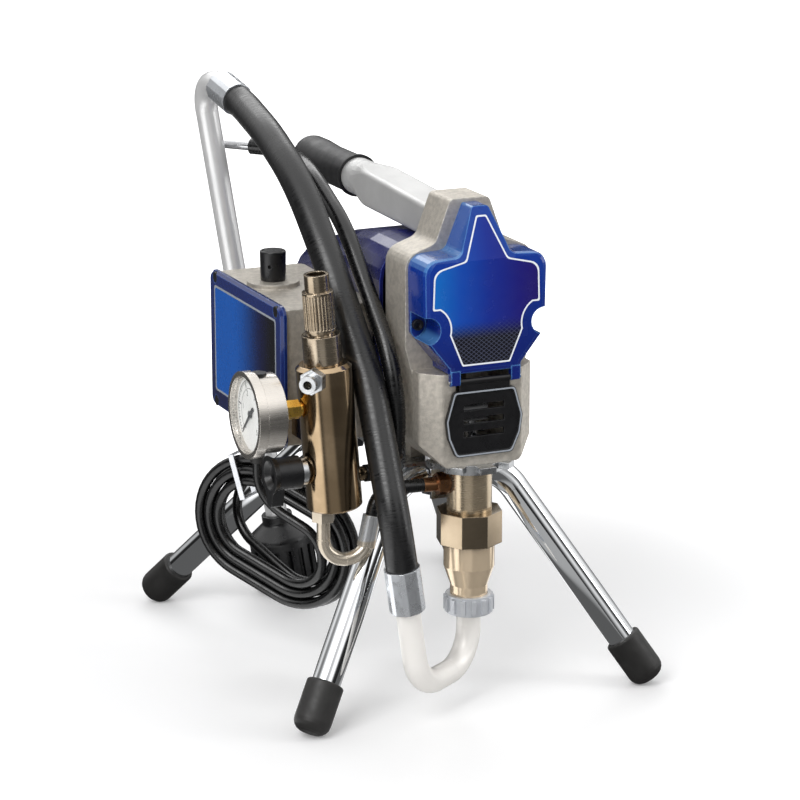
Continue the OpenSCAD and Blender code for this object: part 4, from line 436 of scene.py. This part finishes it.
def turned(name, color, rough, deep, zinc_from=None, metal=1.0, ring=1.0, painted_floor_reflection_below=None):
    """Plated metal with fine lathe rings across the piece's upright axis.

    A zinc end starts at a corner in X and Z, and below a height a paler, less mirror-like lower end, a painted
    reflection of the white floor. ring scales the lathe rings.
    """
    n = Finish(name)
    rings = n.noise(60, 4, (0.6, 0.6, 60))
    base = n.mix(n.patches(26, 4), deep, color)
    if zinc_from:
        past = [n.span(n.axis(axis), low, low + 0.002) for axis, low in zip("XZ", zinc_from)]
        base = n.mix(n.math("MULTIPLY", *past), base, lin(208, 210, 212))
    # Painted reflection of the white floor: below the height the metal is paler and less mirror-like.
    if painted_floor_reflection_below:
        low = n.span(n.axis("Z"), painted_floor_reflection_below + 0.001, painted_floor_reflection_below - 0.004)
        base = n.mix(low, base, shade(color, 1.7))
        metal = n.span(low, 0.0, 1.0, metal, 0.6 * metal)
    # Painted highlight: every edge is lightened.
    near, soft = n.edge(0.0007)
    base = n.mix(n.math("MULTIPLY", near, 0.5), base, shade(color, 1.4))
    rough_value = n.span(rings, 0.3, 0.7, rough - 0.06 * ring, rough + 0.08 * ring)
    return n.finish(base, rough_value, metal, n.bump(rings, 0.000012 * ring, soft))


NICKEL = turned("nickel_plate", lin(188, 165, 134), 0.13, lin(152, 131, 103))
CAP_NICKEL = turned("cap_nickel", lin(190, 176, 156), 0.2, lin(154, 139, 118))
PUMP_NICKEL = turned("pump_nickel", lin(214, 197, 170), 0.24, lin(186, 169, 143), metal=0.85, ring=0.5)
# The intake's lower end carries the painted floor reflection.
INTAKE_NICKEL = turned("intake_nickel", lin(184, 167, 143), 0.16, lin(160, 144, 121), ring=0.3,
                       painted_floor_reflection_below=0.138)
PRESSURE_TUBE = turned("tube_nickel", lin(212, 203, 188), 0.26, lin(186, 175, 158), zinc_from=(-0.105, 0.148),
                       metal=0.75, ring=0.1)
CASE = turned("gauge_case", lin(222, 216, 208), 0.24, lin(198, 193, 186))


def hose_skin(name, color, rough, bands):
    """Wrapped rubber: faint slanted wrap marks and chalky patches, along the tube's own length."""
    n = Finish(name)
    wrap = n.noise(bands, 3, (1, 0.08, 1), (0, 0, 12), "UV")
    chalk = n.span(n.noise(26, 5), 0.45, 0.75, 0.0, 0.5)
    base = n.mix(chalk, color, shade(color, 1.6))
    rough_value = n.span(wrap, 0.3, 0.7, rough - 0.1, rough + 0.08)
    return n.finish(base, rough_value, 0.0, n.bump(wrap, 0.00004), specular_ior_level=0.6)


HOSE = hose_skin("wrapped_rubber", lin(13, 13, 14), 0.36, 900)
THIN_HOSE = hose_skin("drawn_rubber", lin(11, 11, 12), 0.28, 500)


def dial_face():
    """White dial whose filler plug, above the case, is black rubber."""
    n = Finish("dial_white")
    plug_up = 27
    plug = n.span(n.axis("Z"), (GAUGE_Z + plug_up) * MM, (GAUGE_Z + plug_up + 1) * MM)
    paper = n.mix(n.patches(60), lin(233, 233, 229), lin(243, 243, 240))
    base = n.mix(plug, paper, lin(22, 22, 23))
    return n.finish(base, n.patches(500, 3, 0.38, 0.5))


def board_lacquer():
    """Green lacquer, black from a line towards the back wall."""
    n = Finish("board_lacquer")
    green = n.mix(n.patches(260, 4), lin(29, 80, 45), lin(39, 106, 60))
    dark_from_y = 0.05
    base = n.mix(n.span(n.axis("Y"), dark_from_y, dark_from_y + 0.002), green, lin(20, 20, 22))
    return n.finish(base, n.span(n.noise(650, 4), 0.25, 0.75, 0.27, 0.43))


def lens_glass():
    """Thin clear pane: little of its own, with a clear reflection."""
    n = Finish("lens_glass")
    rough_value = n.span(n.noise(60, 3), 0.4, 0.8, 0.02, 0.05)
    return n.finish(lin(240, 244, 245), rough_value, alpha=0.05)


def decal_blue():
    """Cover decal: light blue fading to violet across, running into a dark net of fine diagonals below."""
    n = Finish("decal_blue")
    across = n.new("ValToRGB")
    stops = across.color_ramp.elements
    stops[0].position, stops[0].color = 0.03, lin(0, 98, 182)
    stops[1].position, stops[1].color = 0.97, lin(30, 18, 100)
    for place, tone in ((0.26, lin(6, 66, 162)), (0.52, lin(14, 40, 136)), (0.8, lin(24, 22, 112))):
        stops.new(place).color = tone
    per_metre = 10.6
    n.set(across.inputs["Fac"], n.math("ADD", n.math("MULTIPLY", n.axis("X"), per_metre), 0.5))
    slant, lines = 38, 115
    rising, falling = (n.span(n.wave(lines, (0, turn, 0)), 0.86, 0.99) for turn in (slant, -slant))
    dark = n.mix(n.math("MAXIMUM", rising, falling), lin(18, 19, 28), lin(66, 70, 88))
    fade_top, fade_low = 0.332, 0.315
    base = n.mix(n.span(n.axis("Z"), fade_top, fade_low), across.outputs["Color"], dark)
    return n.finish(base, n.patches(90, 3, 0.2, 0.28), specular_ior_level=0.4)


def decal_box():
    """Box decal: plain blue that darkens towards the front."""
    n = Finish("decal_box")
    y = n.axis("Y")
    navy_from, navy_to, black_from, black_to = 0.01, -0.06, -0.05, -0.08
    base = n.mix(n.span(y, navy_from, navy_to), lin(4, 82, 168), lin(9, 16, 58))
    base = n.mix(n.span(y, black_from, black_to), base, lin(10, 10, 18))
    return n.finish(base, n.patches(90, 3, 0.24, 0.32), specular_ior_level=0.4)


DIAL, BOARD, LENS, DECAL, BOX_DECAL = dial_face(), board_lacquer(), lens_glass(), decal_blue(), decal_box()

FINISHES = {
    CHROME: ["front_legs", "rear_legs"],
    RUBBER: ["leg_caps", "cord_gland"],
    GRIP: ["handle_grip"],
    ZINC: ["stand_bracket", "jam_nut", "outlet_nipple", "prime_valve"],
    CRIMP: ["hose_ferrules"],
    DARK_SCREW: ["screws_and_bolts"],
    CAST: ["drive_housing", "motor_front_bell", "control_housing", "connecting_rod"],
    ARM: ["handle_arm"],
    COVER: ["front_cover"],
    SHROUD: ["motor_shroud"],
    PLATE: ["control_cover"],
    BLACK: ["pump_door", "motor_fan", "strainer", "pressure_knob", "gauge_needle", "prime_valve_handle",
            "power_plug"],
    STEEL: ["door_hinge_pin", "crank_bearing", "wrist_pin", "pump_rod", "packing_nut", "power_switch_lever",
            "drain_tube", "intake_ball"],
    CORE: ["motor_can", "crankshaft", "crank_gear"],
    COPPER: ["motor_rotor"],
    SEAL: ["piston_seal"],
    NICKEL: ["filter_body"],
    PUMP_NICKEL: ["pump_cylinder"],
    INTAKE_NICKEL: ["intake_housing"],
    PRESSURE_TUBE: ["high_pressure_tube"],
    CAP_NICKEL: ["filter_cap"],
    ALU_TUBE: ["suction_tube"],
    BEND_TUBE: ["suction_pipe"],
    RIBBED: ["suction_nut"],
    COPPER_FIT: ["pump_outlet_fitting"],
    BRASS: ["gauge_fitting"],
    CASE: ["pressure_gauge"],
    DIAL: ["gauge_dial"],
    LENS: ["gauge_lens"],
    BOARD: ["control_board"],
    MESH: ["filter_element"],
    TIE: ["cord_tie"],
}
for finish, names in FINISHES.items():
    for name in names:
        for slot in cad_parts[name].material_slots:
            slot.material = finish
power_cord.data.materials.append(CORD_SKIN)


# ---------------------------------------------------------------- hoses
def bent_path(points, bends, step=4.0):
    """Centre line of a bar bent at each inner point, as the source bends it."""
    points = [Vector(p) for p in points]
    path = [points[0]]
    for a, b, c, r in zip(points, points[1:], points[2:], bends):
        u, w = (b - a).normalized(), (c - b).normalized()
        t = u.angle(w)
        inward = (w - w.dot(u) * u).normalized()
        start = b - u * r * math.tan(t / 2)
        count = max(3, round(r * t / step))
        path += [start + inward * r * (1 - math.cos(t * i / count)) + u * r * math.sin(t * i / count)
                 for i in range(count + 1)]
    path.append(points[-1])
    return path


def hose_piece(name, node, route, bends, diameter, material, sides=40, step=0.006):
    """The smooth skin of a hose on its route in the source."""
    path = spread([at(*p) for p in bent_path(route, bends)], step)
    piece = mesh_piece(name, "frame", tube_mesh(path, diameter * MM / 2, sides), material)
    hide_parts(node)


SUCTION_ROUTE = [(-77, -48, 106), (-88, -52, 172), (-85, 8, 278), (-98, 58, 366), (-101, 118, 425),
                 (-99, 190, 452), (-95, 252, 464.5), (-100, 292, 475)]
SUCTION_BENDS = (100, 300, 220, 180, 250, 80)
hose_piece("suction_hose_rubber", "suction_hose", SUCTION_ROUTE, SUCTION_BENDS, HOSE_D, HOSE, 64)

DRAIN_TOP, DRAIN_HOOK = Vector((-92, 355, 416)), Vector((-55, 311, 416))
DRAIN_LAP, DRAIN_LEAD = 12, 16
drain_dir = (DRAIN_HOOK - DRAIN_TOP).normalized()
drain_route = [DRAIN_HOOK - drain_dir * DRAIN_LAP, DRAIN_HOOK + drain_dir * DRAIN_LEAD, (-68, 178, 424),
               (-70, 92, 388), (-66, -8, 280), (-62, 10, 203), (-89, 10, 203)]
hose_piece("drain_hose_rubber", "drain_hose", drain_route, (18, 150, 120, 90, 18), DRAIN_D, THIN_HOSE)

PRESSURE_RISE, PRESSURE_FOOT = Vector((-84, 6, 168)), Vector((-93, 3, 134))
PRESSURE_LEG, PRESSURE_BEND, OUTLET_R = 21.5, 20, 40
pressure_turn = PRESSURE_RISE + (PRESSURE_RISE - PRESSURE_FOOT).normalized() * PRESSURE_LEG
outlet = Vector((pressure_turn.x, pressure_turn.y, 0)).normalized() * OUTLET_R
pressure_route = [PRESSURE_RISE, pressure_turn, (outlet.x, outlet.y, pressure_turn.z)]
hose_piece("pressure_hose_rubber", "high_pressure_hose", pressure_route, (PRESSURE_BEND,), PRESSURE_D,
           THIN_HOSE)


# ---------------------------------------------------------------- decals
def inset(points, d):
    """Moves each edge of a clockwise outline inwards by d."""
    out = []
    for a, b, c in zip(points[-1:] + points[:-1], points, points[1:] + points[:1]):
        e, f = (b - a).normalized(), (c - b).normalized()
        p, q = Vector((e.y, -e.x)), Vector((f.y, -f.x))
        out.append(b + d * (p + q) / (1 + p.dot(q)))
    return out


def rounded(points, radii, steps=6):
    """Rounds each corner of an outline with its own radius."""
    out = []
    for a, b, c, r in zip(points[-1:] + points[:-1], points, points[1:] + points[:1], radii):
        u, w = (b - a).normalized(), (c - b).normalized()
        t = math.acos(max(-1, min(1, u.dot(w))))
        if r == 0 or t < 1e-4:
            out.append(b)
            continue
        inward = (w - w.dot(u) * u).normalized()
        start = b - u * r * math.tan(t / 2)
        out += [start + inward * r * (1 - math.cos(t * s / steps)) + u * r * math.sin(t * s / steps)
                for s in range(steps + 1)]
    return out


def mirrored(half):
    """Closes a right-hand half outline with its mirror image."""
    return [Vector(p) for p in half] + [Vector((-x, y)) for x, y in reversed(half)]


def doubled(radii):
    """Radii of a half outline and of its mirror image."""
    return list(radii) + list(reversed(radii))


def flat_piece(name, outline, place, material, body, thick, hole=None, folds=(), shade_angle=25):
    """A thin sheet of an outline, or of the band between it and a matching hole, laid on a face by place."""
    bm = bmesh.new()
    if hole:
        outer = [bm.verts.new((p.x, 0, p.y)) for p in outline]
        inner = [bm.verts.new((p.x, 0, p.y)) for p in hole]
        for i in range(len(outer)):
            j = (i + 1) % len(outer)
            bm.faces.new((outer[i], outer[j], inner[j], inner[i]))
    else:
        ring = [Vector((p.x, p.y)) for p in outline]
        points, _, faces, *_ = delaunay_2d_cdt(ring, [], [list(range(len(ring)))], 1, 1e-6)
        made = [bm.verts.new((p.x, 0, p.y)) for p in points]
        for face in faces:
            bm.faces.new([made[k] for k in face])
    for z in folds:
        whole = bm.verts[:] + bm.edges[:] + bm.faces[:]
        bmesh.ops.bisect_plane(bm, geom=whole, plane_co=(0, 0, z), plane_no=(0, 0, 1))
    made = bmesh.ops.extrude_face_region(bm, geom=bm.faces[:])
    for v in (g for g in made["geom"] if isinstance(g, bmesh.types.BMVert)):
        v.co.y = -thick
    for v in bm.verts:
        v.co = place(v.co.x, v.co.y, v.co.z)
    mesh_piece(name, body, bm, material, shade_angle)


# Thickness of the sheets, in millimetres
DECAL_T, LINE_T, RIM_T, BROW_T = 0.12, 0.2, 0.1, 0.06


def on_cover(x, depth, z):
    """A point on the cover's front, which leans back above LEAN_Z."""
    return at(x, COVER_FRONT_Y + depth + max(0.0, z - LEAN_Z) * LEAN, z)


SCALLOP, SCALLOP_R, SCALLOP_TURNS = Vector((51, 325)), 19.5, range(122, 202, 8)
scallop = [tuple(SCALLOP + SCALLOP_R * Vector((math.cos(math.radians(a)), math.sin(math.radians(a)))))
           for a in SCALLOP_TURNS]
decal_half = [(4.5, 413), (18.5, 379.5), (46, 373), (47, 341.5), *scallop, (21, 294)]
decal_radii = doubled([2, 5, 9, 1.5] + [0] * len(scallop) + [1.5])
decal_outline = mirrored(decal_half)
DECAL_IN, DECAL_LINE = 0.7, 1.3
flat_piece("cover_decal", rounded(inset(decal_outline, DECAL_IN), decal_radii), on_cover, DECAL, "frame",
           DECAL_T, folds=(LEAN_Z,))
flat_piece("cover_decal_line", rounded(decal_outline, decal_radii), on_cover, LINE, "frame",
           LINE_T, hole=rounded(inset(decal_outline, DECAL_LINE), decal_radii), folds=(LEAN_Z,))

# Thin sheets over triangles that the mesher folds at the cover's shoulders
BROW = [(22, 374), (22, 379), (43.8, 379.1), (47, 376.1), (46.5, 372)]
for name, side in (("cover_brow_right", 1), ("cover_brow_left", -1)):
    brow = [Vector((side * x, z)) for x, z in BROW]
    flat_piece(name, brow, on_cover, COVER_FACE, "frame", BROW_T)


def on_box(along, depth, z):
    """A point on the control box's cover plate, along it from its middle."""
    return at(BOX_FACE_X + depth, BOX_MID_Y + along, z)


box_outline = [Vector(p) for p in ((70, 322), (70, 230), (-70, 230), (-70, 322))]
box_radii = [3] * 4
BOX_IN, BOX_LINE = 1, 1.8
flat_piece("box_decal", rounded(inset(box_outline, BOX_IN), box_radii), on_box, BOX_DECAL, "frame",
           DECAL_T)
flat_piece("box_decal_line", rounded(box_outline, box_radii), on_box, GREY_LINE, "frame",
           LINE_T, hole=rounded(inset(box_outline, BOX_LINE), box_radii))


def on_door(x, depth, z):
    """A point on the pump shield's front."""
    return at(x, DOOR_FACE_Y + depth, z)


DOOR_HALF = [(27, 272.5), (34, 248.5), (32, 234), (25, 218)]
door_radii = doubled([3, 8, 10, 4])
DOOR_IN, DOOR_LINE = 0.5, 1.3
door_outline = inset(mirrored(DOOR_HALF), DOOR_IN)
flat_piece("door_rim_line", rounded(door_outline, door_radii), on_door, GREY_LINE, "door",
           RIM_T, hole=rounded(inset(door_outline, DOOR_LINE), door_radii))


# ---------------------------------------------------------------- gauge dial marks
# Degrees, and sizes in millimetres: a tick has its inner radius and its half width
DIAL_START, DIAL_SWEEP = 225, 270
FIGURES, TICKS = 5, 50
TICK_OUT, TICK_T, PRINT_T = 27, 0.06, 0.05
MAJOR_TICK, MIDDLE_TICK, MINOR_TICK = (21.6, 0.6), (23.8, 0.42), (24.8, 0.26)
ARCS, ARC_STEPS = ((27.0, 27.5), (20.4, 20.8)), 90
FIGURE_R, FIGURE_SIZE = 17.2, 6.2


def on_dial(across, depth, up):
    """across runs to the right for someone who reads the dial."""
    return at(DIAL_X + depth, GAUGE_Y - across, GAUGE_Z + up)


def dial_turn(share):
    """The angle at a share of the dial's scale."""
    return math.radians(DIAL_START - DIAL_SWEEP * share)


def add_plate(bm, corners, thick, place):
    """A flat plate of the corners' outline, laid by place."""
    low = [bm.verts.new(place(x, 0, y)) for x, y in corners]
    high = [bm.verts.new(place(x, -thick, y)) for x, y in corners]
    bm.faces.new(low)
    bm.faces.new(high)
    for i in range(len(corners)):
        j = (i + 1) % len(corners)
        bm.faces.new((low[i], low[j], high[j], high[i]))


marks = bmesh.new()
for i in range(TICKS + 1):
    a = dial_turn(i / TICKS)
    inner, half = MAJOR_TICK if i % 10 == 0 else MIDDLE_TICK if i % 5 == 0 else MINOR_TICK
    c, s = math.cos(a), math.sin(a)
    tick = ((inner, -half), (TICK_OUT, -half), (TICK_OUT, half), (inner, half))
    add_plate(marks, [(r * c - w * s, r * s + w * c) for r, w in tick], TICK_T, on_dial)
for r0, r1 in ARCS:
    for i in range(ARC_STEPS):
        a, b = dial_turn(i / ARC_STEPS), dial_turn((i + 1) / ARC_STEPS)
        piece = ((r0, a), (r1, a), (r1, b), (r0, b))
        add_plate(marks, [(r * math.cos(t), r * math.sin(t)) for r, t in piece], PRINT_T, on_dial)
for i in range(FIGURES + 1):
    a = dial_turn(i / FIGURES)
    words = bpy.data.curves.new("figure", "FONT")
    words.body = str(i)
    words.size = FIGURE_SIZE
    words.align_x, words.align_y = "CENTER", "CENTER"
    holder = bpy.data.objects.new("figure", words)
    scene.collection.objects.link(holder)
    bpy.context.view_layer.update()
    shape = holder.evaluated_get(bpy.context.evaluated_depsgraph_get()).to_mesh()
    middle = Vector((math.cos(a), math.sin(a), 0)) * FIGURE_R
    for polygon in shape.polygons:
        corners = [middle + shape.vertices[k].co for k in polygon.vertices]
        add_plate(marks, [(p.x, p.y) for p in corners], PRINT_T, on_dial)
    bpy.data.objects.remove(holder)
    bpy.data.curves.remove(words)
mesh_piece("dial_marks", "frame", marks, PRINT)


# ---------------------------------------------------------------- floor, light and world
FLOOR_REACH, FLOOR_Z = 20, -0.0003
floor_mesh = bpy.data.meshes.new("floor")
corners = [(x * FLOOR_REACH, y * FLOOR_REACH, FLOOR_Z) for x, y in ((-1, -1), (1, -1), (1, 1), (-1, 1))]
floor_mesh.from_pydata(corners, [], [(0, 1, 2, 3)])
floor = bpy.data.objects.new("floor", floor_mesh)
scene.collection.objects.link(floor)


def pale_floor():
    """White far out, but polished metal sees a dim floor with white cards to the left and right."""
    n = Finish("pale_floor")
    rays = n.new("LightPath").outputs
    tone = n.mix(n.patches(2), (0.88, 0.88, 0.885, 1), (0.9, 0.9, 0.905, 1))
    n.finish(tone, 0.4, specular_ior_level=0.15)
    away = n.new("VectorMath", operation="LENGTH")
    n.set(away.inputs[0], n.coord.outputs["Object"])
    level = n.span(away.outputs["Value"], 0.3, 0.85, 0.14, 1.0)
    lit = n.new("AddShader")
    n.set(lit.inputs[0], n.shader.outputs[0])
    n.set(lit.inputs[1], n.glow(n.math("MULTIPLY", rays["Is Camera Ray"], level)))
    outward = n.new("VectorMath", operation="NORMALIZE")
    n.set(outward.inputs[0], n.coord.outputs["Object"])
    shown = 0.11
    for direction, wide, narrow, gain in (((-0.96, -0.27, 0), 0.88, 0.95, 1.75),
                                          ((1, -0.07, 0), 0.9, 0.96, 1.1),
                                          ((-0.41, -0.91, 0), 0.93, 0.99, 0.3)):
        card = n.span(n.toward(outward.outputs["Vector"], direction), wide, narrow, 0.0, gain)
        shown = n.math("ADD", card, shown)
    total = n.new("MixShader")
    n.set(total.inputs[0], rays["Is Glossy Ray"])
    n.set(total.inputs[1], lit.outputs[0])
    n.set(total.inputs[2], n.glow(shown))
    n.set(n.tree.nodes["Material Output"].inputs["Surface"], total.outputs[0])
    return n.material


floor_mesh.materials.append(pale_floor())


def studio_world(room=0.6):
    """An even white room, but polished metal sees a pale ceiling over a dim room with dark cards in it."""
    world = bpy.data.worlds.new("studio")
    world.use_nodes = True
    n = Nodes(world.node_tree)
    rays = n.new("LightPath").outputs
    ceiling = n.span(n.axis("Z", "Generated"), 0.05, 0.55, 0.35, 1.4)
    cards = 0.0
    for direction, wide, narrow in (((-0.39, -0.88, 0.3), 0.87, 0.95), ((-0.95, 0.2, 0.15), 0.78, 0.92),
                                    ((0.75, -0.62, 0.12), 0.82, 0.94), ((0.3, 0.95, 0.1), 0.8, 0.95)):
        card = n.span(n.toward(n.coord.outputs["Generated"], direction), wide, narrow)
        cards = n.math("MAXIMUM", card, cards)
    glossy = n.math("MULTIPLY", ceiling, n.math("SUBTRACT", 1.0, n.math("MULTIPLY", cards, 0.95)))
    mirror = n.math("MULTIPLY", rays["Is Glossy Ray"], n.math("SUBTRACT", glossy, room))
    seen = n.math("MAXIMUM", rays["Is Camera Ray"], rays["Is Transmission Ray"])
    background = n.tree.nodes["Background"]
    background.inputs["Color"].default_value = WHITE
    n.set(background.inputs["Strength"], n.math("MAXIMUM", seen, n.math("ADD", mirror, room)))
    return world


scene.world = studio_world()


LAMP_TARGET = Vector((0, 0, 0.25))


def soft_box(name, place, power, width, height):
    """A soft rectangular lamp that faces the part."""
    data = bpy.data.lights.new(name, "AREA")
    data.shape = "RECTANGLE"
    data.size, data.size_y = width, height
    data.energy = power
    lamp = bpy.data.objects.new(name, data)
    lamp.location = place
    lamp.rotation_mode = "QUATERNION"
    lamp.rotation_quaternion = (LAMP_TARGET - Vector(place)).to_track_quat("-Z", "Y")
    scene.collection.objects.link(lamp)


soft_box("key", (-1.5, -1.2, 1.7), 30, 1.2, 1.6)
soft_box("fill", (1.7, -1.1, 0.9), 11, 0.7, 1.6)
soft_box("back", (0.4, 1.7, 1.6), 12, 1.6, 0.9)

bpy.context.view_layer.update()
